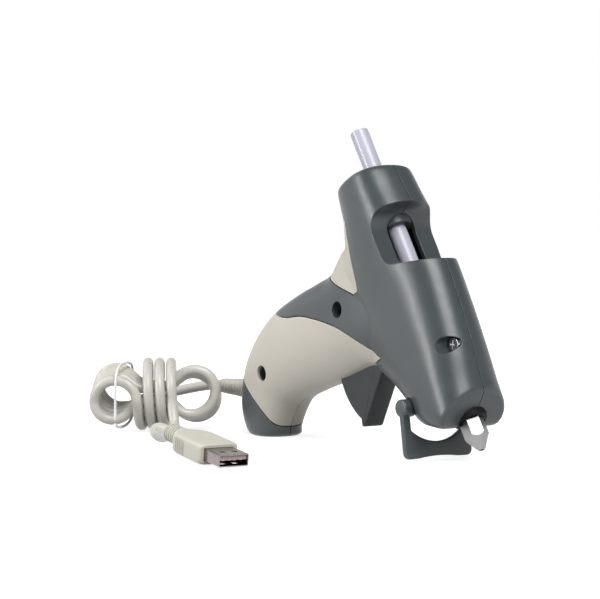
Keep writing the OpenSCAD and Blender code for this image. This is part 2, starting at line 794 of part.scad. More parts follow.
module trigger() {
    reach = norm([feed_half, drive_pin_u - trigger_arm_u]);
    slot = drive_pin_d + 3 * pin_clearance;
    color(dark_grey) difference() {
        union() {
            rotate([90, 0, 0]) linear_extrude(trigger_w, center = true) {
                translate(trigger_pivot) circle(trigger_hub_r);
                translate(trigger_tip) circle(trigger_tip_r);
                polygon(concat([trigger_front, trigger_tip_front], trigger_arc, [trigger_root]));
            }
            on_trigger_arm() translate([0, -trigger_arm_w / 2, -trigger_arm_h / 2])
                cube([reach + trigger_arm_past, trigger_arm_w, trigger_arm_h]);
        }
        pin_across(trigger_pivot, pivot_pin_d / 2 + pin_clearance, -trigger_w, trigger_w);
        on_trigger_arm() translate([reach - trigger_fork, -trigger_w, -slot / 2])
            cube([trigger_w, 2 * trigger_w, slot]);
    }
}

module trigger_pin() {
    color("silver") pin_across(trigger_pivot, pivot_pin_d / 2, -pivot_pin_half, pivot_pin_half);
}

module stand() {
    color(dark_grey) intersection() {
        translate([0, 0, big]) cube(2 * big, center = true);
        translate([stand_pivot[0], 0, stand_pivot[1]]) rotate([0, -stand_lean, 0]) {
            rotate([90, 0, 90]) translate([0, 0, -stand_t / 2]) linear_extrude(stand_t) difference() {
                translate([-stand_outer, -stand_drop]) square([2 * stand_outer, stand_drop]);
                intersection() {
                    translate([0, stand_arch_r - stand_arch_drop]) circle(stand_arch_r);
                    translate([-stand_inner, -stand_drop]) square(2 * [stand_inner, stand_drop]);
                }
                translate([0, stand_foot_rise - stand_pivot[1] - stand_foot_r]) circle(stand_foot_r);
            }
            for (s = [-1, 1]) {
                side_pin(s, [0, 0], stand_eye_r, stand_seat_y + fit, stand_outer);
                side_pin(s, [0, 0], stand_stub_d / 2, stand_stub_y, stand_outer);
            }
        }
    }
}

module strain_relief() {
    long = relief_root - relief_end;
    step = (long - relief_neck - relief_tip_len) / relief_ribs;
    bore_r = (cord_d + snug) / 2;
    root_r = (relief_d - snug) / 2;
    tip_r = cord_d / 2 + relief_tip_wall;
    ribs = [
        for (i = [0:relief_ribs - 1])
            let (z = relief_neck + i * step, r = root_r - (root_r - tip_r) * i / relief_ribs,
                 g = r - relief_groove)
            each [
                [r, z + snug], [r, z + step * relief_band_end],
                [g, z + step * relief_groove_start], [g, z + step * relief_groove_end]
            ]
    ];
    flange = [
        [bore_r, 0], [relief_flange_d / 2, 0], [relief_flange_d / 2, relief_flange_t],
        [root_r, relief_flange_t], [root_r, relief_neck]
    ];
    tip = [[tip_r, long - relief_tip_len], [tip_r - relief_groove, long], [bore_r, long]];
    color(cord_grey) translate([relief_root, 0, relief_z]) rotate([0, -90, 0])
        rotate_extrude() polygon(concat(flange, ribs, tip));
}

// One end of a loop: from its tip over the top and down to the waist
function loop_end(r) =
    let (b = asin((r + hank_waist) / (2 * r)),
         n = round((180 - b) / hank_arc), m = round((90 - b) / hank_arc))
    concat(
        [for (k = [0:n]) let (a = (180 - b) * k / n) r * [1 - cos(a), sin(a)]],
        [for (k = [1:m]) let (a = b + (90 - b) * k / m) r * [1 + 2 * cos(b) - cos(a), 2 * sin(b) - sin(a)]]);
function backwards(list) = [for (i = [len(list) - 1:-1:0]) list[i]];
function under(list) = [for (i = [1:len(list) - 1]) [list[i][0], -list[i][1]]];

// Hank: long loops side by side, drawn in at the waist, then turns of the same cord round the waist
loop_left = [for (p = loop_end(hank_bends[0])) [hank_tips[0] + p[0], p[1]]];
loop_right = [for (p = loop_end(hank_bends[1])) [hank_tips[1] - p[0], p[1]]];
hank_loop = concat(loop_left, backwards(loop_right), under(loop_right), backwards(under(loop_left)));
loop_points = len(hank_loop);
loop_total = hank_loops * loop_points;
wrap_points = 360 / wrap_turn;
hank_half = hank_step * hank_loops / 2;
hank_tip = [hank_tips[0], -hank_half, hank_tips[0] * tan(hank_lean)];
wrap_first = asin(hank_tip[2] / wrap_z);
function ease(u) = u * u * (3 - 2 * u);
hank_route = concat(
    [for (i = [-hank_start:loop_total])
        let (p = hank_loop[(i + loop_points) % loop_points],
             behind = hank_start_out * (1 - ease(min(1, (i + hank_start) / hank_start_over))))
        [
            p[0], hank_half - hank_step * i / loop_points + behind,
            p[1] + p[0] * tan(hank_lean * (2 * i / loop_total - 1))
        ]],
    [for (a = [hank_arc:hank_arc:180 - hank_arc])
        hank_tip + [
            wrap_bend * (1 - cos(a)), (hank_half - wrap_y * cos(wrap_first)) * sin(a / 2), wrap_bend * sin(a)
        ]],
    [for (i = [0:hank_wraps * wrap_points])
        let (t = wrap_first - wrap_turn * i)
        [hank_tip[0] + 2 * wrap_bend + hank_step * i / wrap_points, -wrap_y * cos(t), wrap_z * sin(t)]]);

// Least gap between turns of the hank, from its points to its lengths of tube further along
hank_next = 5;
function to_length(p, a, b) =
    let (t = max(0, min(1, (p - a) * (b - a) / ((b - a) * (b - a)))))
    norm(p - a - t * (b - a));
hank_gap = min([
    for (i = [0:len(hank_route) - 1], j = [i + hank_next:1:len(hank_route) - 2])
        to_length(hank_route[i], hank_route[j], hank_route[j + 1])
]) - cord_d;
echo(hank_gap = hank_gap);

function hank_world(p) = [
    hank_at[0] + p[0] * cos(hank_turn) - p[1] * sin(hank_turn),
    hank_at[1] + p[0] * sin(hank_turn) + p[1] * cos(hank_turn), hank_z + p[2]
];
hank_first = hank_world(hank_route[0]);
hank_last = hank_world(hank_route[len(hank_route) - 1]);

module cord_hank() {
    color(cord_grey) tube([for (p = hank_route) hank_world(p)], cord_d / 2, tube_sides);
}

// The cord's lengths meet end to end, each straight for one diameter at the join
module cord_lead() {
    into = hank_world(hank_route[1]) - hank_first;
    step = into / norm(into);
    route = concat(curve(concat(lead_in, [hank_first - cord_d * step]), 3), [hank_first - snug / 2 * step]);
    color(cord_grey) tube(route, cord_d / 2, cord_sides);
}

module cord_tail() {
    out = hank_last - hank_world(hank_route[len(hank_route) - 2]);
    step = out / norm(out);
    route = concat([hank_last + snug / 2 * step], curve(concat([hank_last + cord_d * step], tail_out), 3));
    color(cord_grey) tube(route, cord_d / 2, cord_sides);
}

tie_d = 1.1;
tie_at = -11.8;
tie_slant = 0.15;
tie_ring = [
    [-18.9, -9], [-18.6, -3.5], [-18.4, 3], [-16.8, 8.8], [-11, 12.2], [-3, 12.8], [5, 12.6], [11.4, 10.6],
    [13.4, 4], [13.2, -4], [10.8, -10.4], [4, -12.6], [-5, -13.2], [-13, -12.6], [-19.2, -11]
];

module cord_tie() {
    route = [for (p = curve(tie_ring, 2)) hank_world([tie_at + tie_slant * p[0], p[0], p[1]])];
    color("white") tube(route, tie_d / 2, tube_sides);
}

module on_plug() {
    translate([plug_at[0], plug_at[1], plug_z])
        rotate([0, 0, plug_turn]) rotate([0, plug_tip - 90, 0]) children();
}

// Bar with rounded edges, width along Y and height along local X
module rounded_bar(w, h, r, long) {
    linear_extrude(long) {
        square([h, w - 2 * r], center = true);
        square([h - 2 * r, w], center = true);
        for (a = [-1, 1], b = [-1, 1]) translate([a * (h / 2 - r), b * (w / 2 - r)]) circle(r);
    }
}

module plug_grip() {
    color(cord_grey) on_plug() difference() {
        loft([
            for (rib = plug_ribs) [
                for (i = [0:rib_sides - 1])
                    let (t = 360 * (i + 0.5) / rib_sides,
                         e = 2 / (rib[0] > plug_round_from ? 2 : plug_fullness))
                    [power(cos(t), e) * rib[2], power(sin(t), e) * rib[1], rib[0]]
            ]
        ]);
        translate([0, 0, plug_shell_len - over])
            rounded_bar(plug_shell_w + snug, plug_shell_h + snug, plug_corner, plug_seat + over);
        translate([0, 0, plug_cord_in]) cylinder(d = cord_d + snug, h = plug_cord_in);
        for (i = [0:plug_grooves - 1], y = [plug_half - groove_depth, -plug_half - over])
            translate([-plug_half, y, groove_from + groove_step * i])
                cube([2 * plug_half, groove_depth + over, groove_w]);
        for (i = [0:tail_grooves - 1])
            translate([0, 0, tail_groove_from + tail_groove_step * i]) difference() {
                cylinder(r = plug_half, h = tail_groove_w);
                cylinder(d = tail_core_d, h = tail_groove_w);
            }
    }
}

module plug_shell() {
    long = plug_shell_len + plug_seat;
    inner = plug_shell_wall * 2;
    color("silver") on_plug() difference() {
        rounded_bar(plug_shell_w, plug_shell_h, plug_corner, long - 2 * snug);
        translate([0, 0, -over])
            rounded_bar(plug_shell_w - inner, plug_shell_h - inner, plug_corner / 2, long);
        for (y = plug_hole_y) translate([-plug_shell_h, y, plug_hole_s])
            cube([2 * plug_shell_h, plug_hole[0], plug_hole[1]]);
    }
}

module plug_tongue() {
    w = plug_shell_w - 2 * plug_shell_wall - 4 * snug;
    color([0.1, 0.1, 0.1]) on_plug() translate([snug, -w / 2, tongue_back])
        cube([plug_shell_h / 2 - plug_shell_wall - 1.5 * snug, w, plug_shell_len + plug_seat - tongue_short]);
}

module plug_contacts() {
    color("gold") on_plug() for (y = contact_y)
        translate([snug - press - contact[0], y - contact[1] / 2, contact_s]) cube(contact);
}

right_shell();
left_shell();
right_grip_panel();
left_grip_panel();
right_tail_panel();
left_tail_panel();
case_screws();
nozzle();
nozzle_collar();
melt_chamber();
heater_element();
heater_clip();
heater_leads();
inlet_sleeve();
stick_guide();
glue_stick();
feed_carriage();
drive_pin();
feed_spring();
trigger();
trigger_pin();
stand();
strain_relief();
cord_lead();
cord_hank();
cord_tail();
cord_tie();
plug_grip();
plug_shell();
plug_tongue();
plug_contacts();
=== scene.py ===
# %% [markdown]
# # A small hot glue gun
# The CAD model gives every piece its place and its motion. This notebook dresses it: the camera of
# the photograph, the soft cord, the smooth moulded body and the finishes of each piece.

# %% Load the frame
import math

import bpy
import numpy as np
from mathutils import Matrix, Vector


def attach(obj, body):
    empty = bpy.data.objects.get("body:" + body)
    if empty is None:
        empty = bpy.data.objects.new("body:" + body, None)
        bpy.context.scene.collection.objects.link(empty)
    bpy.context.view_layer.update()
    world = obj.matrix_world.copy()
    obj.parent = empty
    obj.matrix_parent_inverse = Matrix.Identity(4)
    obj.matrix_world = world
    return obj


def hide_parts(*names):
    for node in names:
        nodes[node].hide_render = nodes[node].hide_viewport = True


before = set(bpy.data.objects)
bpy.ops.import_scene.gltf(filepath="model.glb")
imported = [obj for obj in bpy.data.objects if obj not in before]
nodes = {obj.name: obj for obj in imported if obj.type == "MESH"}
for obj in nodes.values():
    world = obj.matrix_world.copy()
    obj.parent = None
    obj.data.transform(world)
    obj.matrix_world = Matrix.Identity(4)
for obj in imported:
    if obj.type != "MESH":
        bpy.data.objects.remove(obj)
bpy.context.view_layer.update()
scene = bpy.context.scene
MM = 0.001

# %% [markdown]
# ## Camera, floor and light
# The photograph was taken from in front and to the right with a long lens, a little above the
# table. The camera stands where the plug's known width and the table line put it.

# %% Camera
LENS_MM = 137.0
CAMERA_AT = Vector((0.7017, -0.531, 0.095))
LOOK_FLAT = Vector((-0.8134, 0.5817, 0.0))
PITCH_DOWN = math.radians(2.47)

camera_data = bpy.data.cameras.new("photo_camera")
camera_data.lens = LENS_MM
camera_data.sensor_width = 36.0
camera_data.sensor_fit = "HORIZONTAL"
camera_data.clip_start = 0.01
camera = bpy.data.objects.new("photo_camera", camera_data)
scene.collection.objects.link(camera)
camera.location = CAMERA_AT
look = LOOK_FLAT * math.cos(PITCH_DOWN) + Vector((0, 0, -math.sin(PITCH_DOWN)))
camera.rotation_euler = look.to_track_quat("-Z", "Y").to_euler()
scene.camera = camera
scene.view_settings.view_transform = "Standard"
print("camera looks along", tuple(round(v, 3) for v in look))

# %% [markdown]
# The floor and the room are white in the picture, but a white room would wash out the shading that
# the lamps give. So the floor is a mid grey and the room is dim, and white is added only for the
# rays that look at them: from the camera, in metal or through glass.

# %% Floor
FLOOR_SIZE, FLOOR_DROP = 8.0, 0.0003
FLOOR_GREY, WHITE = (0.45, 0.45, 0.45, 1), (1, 1, 1, 1)
NEAR_AT, FAR_AT = 0.2, 0.8
NEAR_GLOW, FAR_GLOW = 0.84, 1.0

bpy.ops.object.select_all(action="DESELECT")
bpy.ops.mesh.primitive_plane_add(size=FLOOR_SIZE, location=(0, 0, -FLOOR_DROP))
floor = bpy.context.object
floor.name = "floor"


def seen_rays(tree):
    """One for rays that show the white: from the camera, in metal and through glass."""
    path = tree.nodes.new("ShaderNodeLightPath")
    seen = path.outputs["Is Camera Ray"]
    for kind in ("Is Glossy Ray", "Is Transmission Ray"):
        either = tree.nodes.new("ShaderNodeMath")
        either.operation = "MAXIMUM"
        tree.links.new(seen, either.inputs[0])
        tree.links.new(path.outputs[kind], either.inputs[1])
        seen = either.outputs[0]
    return seen


def range_map(tree, value, start, end, low, high):
    """Maps a value from one range of numbers to another."""
    node = tree.nodes.new("ShaderNodeMapRange")
    node.inputs["From Min"].default_value = start
    node.inputs["From Max"].default_value = end
    node.inputs["To Min"].default_value = low
    node.inputs["To Max"].default_value = high
    tree.links.new(value, node.inputs["Value"])
    return node.outputs["Result"]


def times(tree, first, second):
    node = tree.nodes.new("ShaderNodeMath")
    node.operation = "MULTIPLY"
    tree.links.new(first, node.inputs[0])
    tree.links.new(second, node.inputs[1])
    return node.outputs[0]


def seen_white(tree, shader):
    """Adds white to a shader for the rays that show it, a little less near the object."""
    away = tree.nodes.new("ShaderNodeVectorMath")
    away.operation = "LENGTH"
    tree.links.new(tree.nodes.new("ShaderNodeTexCoord").outputs["Object"], away.inputs[0])
    strength = range_map(tree, away.outputs["Value"], NEAR_AT, FAR_AT, NEAR_GLOW, FAR_GLOW)
    glow = tree.nodes.new("ShaderNodeEmission")
    glow.inputs["Color"].default_value = WHITE
    tree.links.new(times(tree, seen_rays(tree), strength), glow.inputs["Strength"])
    add = tree.nodes.new("ShaderNodeAddShader")
    tree.links.new(shader, add.inputs[0])
    tree.links.new(glow.outputs[0], add.inputs[1])
    return add.outputs[0]


floor_material = bpy.data.materials.new("floor_white")
floor_material.use_nodes = True
tree = floor_material.node_tree
tree.nodes.clear()
matt = tree.nodes.new("ShaderNodeBsdfDiffuse")
matt.inputs["Color"].default_value = FLOOR_GREY
out = tree.nodes.new("ShaderNodeOutputMaterial")
tree.links.new(seen_white(tree, matt.outputs[0]), out.inputs["Surface"])
floor.data.materials.append(floor_material)
print("floor:", FLOOR_SIZE, "m wide")

# %% Room
ROOM_GLOW = 0.12
WHITE_BELOW, DIM_ABOVE = 0.25, 0.45

world = bpy.data.worlds.new("studio")
scene.world = world
world.use_nodes = True
tree = world.node_tree
tree.nodes.clear()
dim, white = (tree.nodes.new("ShaderNodeBackground") for k in range(2))
for background, strength in ((dim, ROOM_GLOW), (white, 1.0)):
    background.inputs["Color"].default_value = WHITE
    background.inputs["Strength"].default_value = strength
way = tree.nodes.new("ShaderNodeSeparateXYZ")
tree.links.new(tree.nodes.new("ShaderNodeTexCoord").outputs["Generated"], way.inputs[0])
low = range_map(tree, way.outputs["Z"], WHITE_BELOW, DIM_ABOVE, 1.0, 0.0)
pick = tree.nodes.new("ShaderNodeMixShader")
out = tree.nodes.new("ShaderNodeOutputWorld")
tree.links.new(times(tree, seen_rays(tree), low), pick.inputs[0])
tree.links.new(dim.outputs[0], pick.inputs[1])
tree.links.new(white.outputs[0], pick.inputs[2])
tree.links.new(pick.outputs[0], out.inputs["Surface"])
print("room glow:", ROOM_GLOW)

# %% Lamps
LAMP_AIM = Vector((0.0, 0.0, 0.05))


def lamp(name, at, size, watts):
    """A soft lamp that looks at the object."""
    data = bpy.data.lights.new(name, "AREA")
    data.shape = "RECTANGLE"
    data.size, data.size_y = size
    data.energy = watts
    ob = bpy.data.objects.new(name, data)
    scene.collection.objects.link(ob)
    ob.location = at
    ob.rotation_euler = (LAMP_AIM - Vector(at)).to_track_quat("-Z", "Y").to_euler()


lamp("side_softbox", (-0.62, -1.25, 0.40), (0.30, 0.9), 12.0)
lamp("top_softbox", (0.80, -0.25, 1.15), (0.85, 0.95), 25.0)
lamp("back_softbox", (-0.9, -0.5, 0.8), (0.7, 0.7), 3.0)

# %% [markdown]
# ## Finishes
# Every finish is a Principled shader whose colour, roughness and bump come from noise in object
# coordinates, so it stays on the piece when the piece moves. Moulded plastic has a fine grain and
# a faint cloudiness; cord and plug plastic are smoother and catch a softer light. A painted picture
# could give the same, but noise needs no unwrapping and is sharp at any distance.

# %% Finish maker
MIDDLE_NOISE = (0.3, 0.7)
FLAT, SHARP = 0.985, 0.90
SPECK, GRAIN = 6, 2500.0
BUMP_DEPTH, EDGE_SAMPLES = 0.0002, 6
MIX_FIRST, MIX_SECOND, MIX_RESULT = 6, 7, 2


def noise(tree, coords, scale, detail=2.0):
    tex = tree.nodes.new("ShaderNodeTexNoise")
    tex.inputs["Scale"].default_value = scale
    tex.inputs["Detail"].default_value = detail
    tree.links.new(coords, tex.inputs["Vector"])
    return tex.outputs["Fac"]


def ramp(tree, value, low, high):
    """Maps noise from its middle range to a range of numbers."""
    return range_map(tree, value, *MIDDLE_NOISE, low, high)


def on_edge(tree, rounded):
    """One at a sharp edge, where the rounded normal leaves the face's own, and nought on the flat; the mask
    of the painted edge highlight.
    """
    face = tree.nodes.new("ShaderNodeNewGeometry")
    both = tree.nodes.new("ShaderNodeVectorMath")
    both.operation = "DOT_PRODUCT"
    tree.links.new(face.outputs["Normal"], both.inputs[0])
    tree.links.new(rounded, both.inputs[1])
    return range_map(tree, both.outputs["Value"], FLAT, SHARP, 0.0, 1.0)


def finish(name, colour, shade=0.9, rough=(0.4, 0.5), cloud=60.0, bump=0.05, metallic=0.0, specular=0.5,
           edge=0.0, edge_highlight=1.0):
    """A procedural finish: clouded colour, varied roughness, a fine grain, softly rounded edges and a painted
    highlight that lightens the colour along them.
    """
    made = bpy.data.materials.new(name)
    made.use_nodes = True
    tree = made.node_tree
    shader = tree.nodes["Principled BSDF"]
    shader.inputs["Metallic"].default_value = metallic
    shader.inputs["Specular IOR Level"].default_value = specular
    coords = tree.nodes.new("ShaderNodeTexCoord").outputs["Object"]
    mix = tree.nodes.new("ShaderNodeMix")
    mix.data_type = "RGBA"
    mix.inputs[MIX_FIRST].default_value = (*[c * shade for c in colour], 1)
    mix.inputs[MIX_SECOND].default_value = (*colour, 1)
    tree.links.new(ramp(tree, noise(tree, coords, cloud, 4.0), 0.0, 1.0), mix.inputs[0])
    tree.links.new(mix.outputs[MIX_RESULT], shader.inputs["Base Color"])
    tree.links.new(ramp(tree, noise(tree, coords, cloud * SPECK), *rough), shader.inputs["Roughness"])
    lift = tree.nodes.new("ShaderNodeBump")
    lift.inputs["Strength"].default_value = bump
    lift.inputs["Distance"].default_value = BUMP_DEPTH
    tree.links.new(noise(tree, coords, GRAIN, 3.0), lift.inputs["Height"])
    if edge:
        round_over = tree.nodes.new("ShaderNodeBevel")
        round_over.samples = EDGE_SAMPLES
        round_over.inputs["Radius"].default_value = edge * MM
        tree.links.new(round_over.outputs["Normal"], lift.inputs["Normal"])
        # Painted highlight: the colour is lightened along sharp edges, where the rounded normal leaves the
        # face.
        edge_highlight_mix = tree.nodes.new("ShaderNodeMix")
        edge_highlight_mix.data_type = "RGBA"
        edge_highlight_mix.inputs[MIX_SECOND].default_value = (*[c * edge_highlight for c in colour], 1)
        tree.links.new(on_edge(tree, round_over.outputs["Normal"]), edge_highlight_mix.inputs[0])
        tree.links.new(mix.outputs[MIX_RESULT], edge_highlight_mix.inputs[MIX_FIRST])
        tree.links.new(edge_highlight_mix.outputs[MIX_RESULT], shader.inputs["Base Color"])
    tree.links.new(lift.outputs["Normal"], shader.inputs["Normal"])
    return made


print("noise grain:", GRAIN, "edge samples:", EDGE_SAMPLES)

# %% Plastic finishes
# The slate and the pale panels get a painted highlight along their sharp edges and seams.
slate = finish("slate_plastic", (0.050, 0.060, 0.064), shade=0.92, rough=(0.30, 0.37), bump=0.12,
               edge=0.4, edge_highlight=1.6)
dark_slate = finish("dark_slate_plastic", (0.022, 0.026, 0.028), shade=0.92, rough=(0.36, 0.46), bump=0.10,
                    specular=0.3, edge=0.4)
warm_grey = finish("warm_grey_panel", (0.50, 0.475, 0.415), shade=0.95, rough=(0.42, 0.52), bump=0.06,
                   edge=0.5, edge_highlight=1.4)
cord_skin = finish("cord_jacket", (0.52, 0.51, 0.46), shade=0.94, rough=(0.26, 0.34), cloud=90, bump=0.03)
relief_skin = finish("relief_jacket", (0.48, 0.47, 0.435), shade=0.94, rough=(0.38, 0.48), bump=0.05,
                     edge=0.2)
plug_skin = finish("plug_ivory", (0.52, 0.51, 0.435), shade=0.95, rough=(0.36, 0.46), bump=0.05, edge=0.3)
tie_skin = finish("tie_coating", (0.75, 0.75, 0.74), shade=0.95, rough=(0.35, 0.45), bump=0.03)
collar_black = finish("collar_black", (0.006, 0.006, 0.0065), shade=0.7, rough=(0.6, 0.7), bump=0.05,
                      specular=0.15)
tongue_pale = finish("tongue_pale", (0.42, 0.34, 0.33), shade=0.9, rough=(0.4, 0.5), bump=0.05)
ceramic = finish("heater_ceramic", (0.76, 0.73, 0.65), shade=0.92, rough=(0.55, 0.7), bump=0.08)
silicone = finish("sleeve_silicone", (0.42, 0.10, 0.06), shade=0.9, rough=(0.45, 0.55), bump=0.05)
nylon = finish("carriage_nylon", (0.78, 0.78, 0.76), shade=0.95, rough=(0.35, 0.45), bump=0.04)
print("finishes so far:", len(bpy.data.materials))

# %% Metal finishes
chrome = finish("nozzle_chrome", (0.30, 0.30, 0.305), shade=0.9, rough=(0.30, 0.40), cloud=300, bump=0.02,
                metallic=1.0, edge=0.3)
steel = finish("plated_steel", (0.62, 0.62, 0.63), shade=0.88, rough=(0.22, 0.34), cloud=250, bump=0.03,
               metallic=1.0)
screw_plate = finish("screw_plating", (0.62, 0.62, 0.63), shade=0.9, rough=(0.12, 0.2), cloud=300, bump=0.02,
                     metallic=1.0, edge=0.2)
plug_metal = finish("plug_plating", (0.27, 0.235, 0.23), shade=0.88, rough=(0.12, 0.22), cloud=200, bump=0.02,
                    metallic=1.0, edge=0.2)
gold = finish("contact_gold", (0.78, 0.58, 0.24), shade=0.9, rough=(0.2, 0.3), cloud=400, bump=0.02,
              metallic=1.0)
alloy = finish("chamber_alloy", (0.70, 0.70, 0.71), shade=0.85, rough=(0.32, 0.46), cloud=200, bump=0.08,
               metallic=1.0)
print("finishes:", len(bpy.data.materials))

# %% [markdown]
# Hot melt glue is cloudy: a milky lilac tone under a smooth skin, and soft noise makes it uneven as
# a cast stick is. A clear, light-bending shader would show the bore behind it, so it is a milky one.

# %% Glue finish
glue = finish("cloudy_glue", (0.42, 0.42, 0.49), shade=0.985, rough=(0.24, 0.28), cloud=60, bump=0.004)
glue_shader = glue.node_tree.nodes["Principled BSDF"]
glue_shader.inputs["IOR"].default_value = 1.45
print("glue finish:", glue.name)

# %% [markdown]
# ## The cord
# The cord is one limp length: out of the strain relief, round behind the bundle, through four long
# loops with round ends, three turns round their waist, and along the table to the plug. Its points
# are those of the CAD route, joined by one smooth curve. A chain of short rods would show its joints;
# a curve with a round section bends evenly, and its length can be measured.

# %% Cord route
CORD_D, CORD_STEPS = 4.2, 4
HANK_AT = (-101.6, -30.8)
HANK_TURN = math.radians(54)
HANK_GAP, HANK_CLEAR = 0.6, 0.1
HANK_STEP = CORD_D + HANK_GAP
LOOPS, WRAPS = 4, 3
TIPS, BENDS, WAIST = (-24, 25.6), (8.4, 9.2), 2.8
HANK_LEAN, ARC = math.radians(6), 22.5
START, START_OUT, START_OVER = 4, 6.5, 9
WRAP_Y, WRAP_Z, WRAP_BEND, WRAP_TURN = 15.8, 13, 9, 30
HANK_Z = WRAP_Z + CORD_D / 2 + HANK_CLEAR
LEAD_IN = [(-73.3, 0, 17.5), (-85.3, 0, 17.5), (-97.3, 0, 17.5), (-105.5, -0.9, 17.1), (-110.8, -5, 16),
           (-117.7, -11.7, 13.8), (-121.8, -19.8, 10.8), (-123.1, -25.9, 9)]
TAIL_OUT = [(-81.1, -34.1, 5.3), (-78.1, -35.7, 3.1), (-74.6, -37.6, 2.3), (-67.7, -43.3, 2.3),
            (-61.2, -49.6, 2.3), (-54.9, -56.1, 2.6), (-48.7, -62.2, 4.1), (-42.4, -67.4, 6.2),
            (-35.7, -71.2, 8.2), (-28.7, -73.1, 9.1), (-22.7, -73.7, 8.5), (-15.8, -74.3, 7.7)]


def smooth_line(points, steps):
    """A smooth curve through points: each stretch bends by its neighbours."""
    p = np.array(points, float)
    q = np.vstack([p[:1], p, p[-1:]])
    made = []
    for i in range(1, len(q) - 2):
        a, b, c, d = q[i - 1:i + 3]
        for k in range(steps):
            t = k / steps
            made.append((2 * b + (c - a) * t + (2 * a - 5 * b + 4 * c - d) * t ** 2
                         + (3 * b - a - 3 * c + d) * t ** 3) / 2)
    made.append(p[-1])
    return np.array(made)


def hank_place(p):
    c, s = math.cos(HANK_TURN), math.sin(HANK_TURN)
    return (HANK_AT[0] + p[0] * c - p[1] * s, HANK_AT[1] + p[0] * s + p[1] * c, HANK_Z + p[2])


def loop_end(r):
    """One quarter of a loop: a round end that swings back into the bundle's waist."""
    turn = math.degrees(math.asin((r + WAIST) / (2 * r)))
    round_steps, swing_steps = round((180 - turn) / ARC), round((90 - turn) / ARC)
    points = []
    for k in range(round_steps + 1):
        a = math.radians((180 - turn) * k / round_steps)
        points.append((r * (1 - math.cos(a)), r * math.sin(a)))
    b = math.radians(turn)
    for k in range(1, swing_steps + 1):
        a = math.radians(turn + (90 - turn) * k / swing_steps)
        points.append((r * (1 + 2 * math.cos(b) - math.cos(a)), r * (2 * math.sin(b) - math.sin(a))))
    return points


def ease(t):
    return t * t * (3 - 2 * t)


left_end = [(TIPS[0] + x, z) for x, z in loop_end(BENDS[0])]
right_end = [(TIPS[1] - x, z) for x, z in loop_end(BENDS[1])]
loop = left_end + right_end[::-1]
loop += [(x, -z) for x, z in right_end[1:]] + [(x, -z) for x, z in left_end[:0:-1]]
hank = []
last = LOOPS * len(loop)
for i in range(-START, last + 1):
    x, z = loop[i % len(loop)]
    aside = START_OUT * (1 - ease(min(1, (i + START) / START_OVER)))
    rise = x * math.tan(HANK_LEAN * (2 * i / last - 1))
    hank.append((x, HANK_STEP * (LOOPS / 2 - i / len(loop)) + aside, z + rise))
tip = hank[-1]
first_turn = math.asin(tip[2] / WRAP_Z)
for k in range(1, round(180 / ARC)):
    a = math.radians(ARC * k)
    side = tip[1] - (tip[1] + WRAP_Y * math.cos(first_turn)) * math.sin(a / 2)
    hank.append((tip[0] + WRAP_BEND * (1 - math.cos(a)), side, tip[2] + WRAP_BEND * math.sin(a)))
for i in range(WRAPS * 360 // WRAP_TURN + 1):
    t = first_turn - math.radians(WRAP_TURN * i)
    along = tip[0] + 2 * WRAP_BEND + HANK_STEP * i * WRAP_TURN / 360
    hank.append((along, -WRAP_Y * math.cos(t), WRAP_Z * math.sin(t)))
route = LEAD_IN + [hank_place(p) for p in hank] + TAIL_OUT
line = smooth_line(route, CORD_STEPS) * MM
print("cord points:", len(line))


# %% Cord piece
def tube_curve(name, points, radius, roundness=8):
    """A round tube along points, as one open spline."""
    data = bpy.data.curves.new(name, "CURVE")
    data.dimensions = "3D"
    data.bevel_depth = radius
    data.bevel_resolution = roundness
    data.use_fill_caps = True
    spline = data.splines.new("POLY")
    spline.points.add(len(points) - 1)
    for point, at in zip(spline.points, points):
        point.co = (*at, 1.0)
    spline.use_smooth = True
    ob = bpy.data.objects.new(name, data)
    scene.collection.objects.link(ob)
    return ob


def dress(piece, body, slot, material, *replaced):
    """Finish, body and the CAD nodes that a piece stands for; the slot argument is not used."""
    piece.data.materials.clear()
    piece.data.materials.append(material)
    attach(piece, body)
    if replaced:
        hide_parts(*replaced)


cord = tube_curve("power_cord", line, CORD_D / 2 * MM)
dress(cord, "body", "cord_grey", cord_skin, "cord_lead", "cord_hank", "cord_tail")

# %% [markdown]
# A thin coated wire ties the bundle. It is a second curve, laid a little slantwise round the turns.

# %% Cord tie
TIE_AT, TIE_SLANT, TIE_R = -11.8, 0.15, 0.55
TIE_STEPS, TIE_ROUNDNESS = 6, 4
TIE = [(-18.9, -9), (-18.6, -3.5), (-18.4, 3), (-16.8, 8.8), (-11, 12.2), (-3, 12.8), (5, 12.6), (11.4, 10.6),
       (13.4, 4), (13.2, -4), (10.8, -10.4), (4, -12.6), (-5, -13.2), (-13, -12.6), (-19.2, -11)]
tie_route = [hank_place((TIE_AT + TIE_SLANT * y, y, z)) for y, z in TIE]
tie = tube_curve("cord_tie_wire", smooth_line(tie_route, TIE_STEPS) * MM, TIE_R * MM, TIE_ROUNDNESS)
dress(tie, "body", "tie_white", tie_skin, "cord_tie")
print("tie points:", len(tie_route))

# %% [markdown]
# ## The moulded body
# The body is two hollow halves. Its barrel and its handle are each a skin over ribs: a fine grid is
# wrapped round the ribs, closed at its ends, and the two are joined. The same skins drawn inwards
# hollow the halves out and seat the pale panels. A cube could be pulled to this shape by hand, but
# the ribs keep it on the CAD body and can be drawn inwards by any distance.

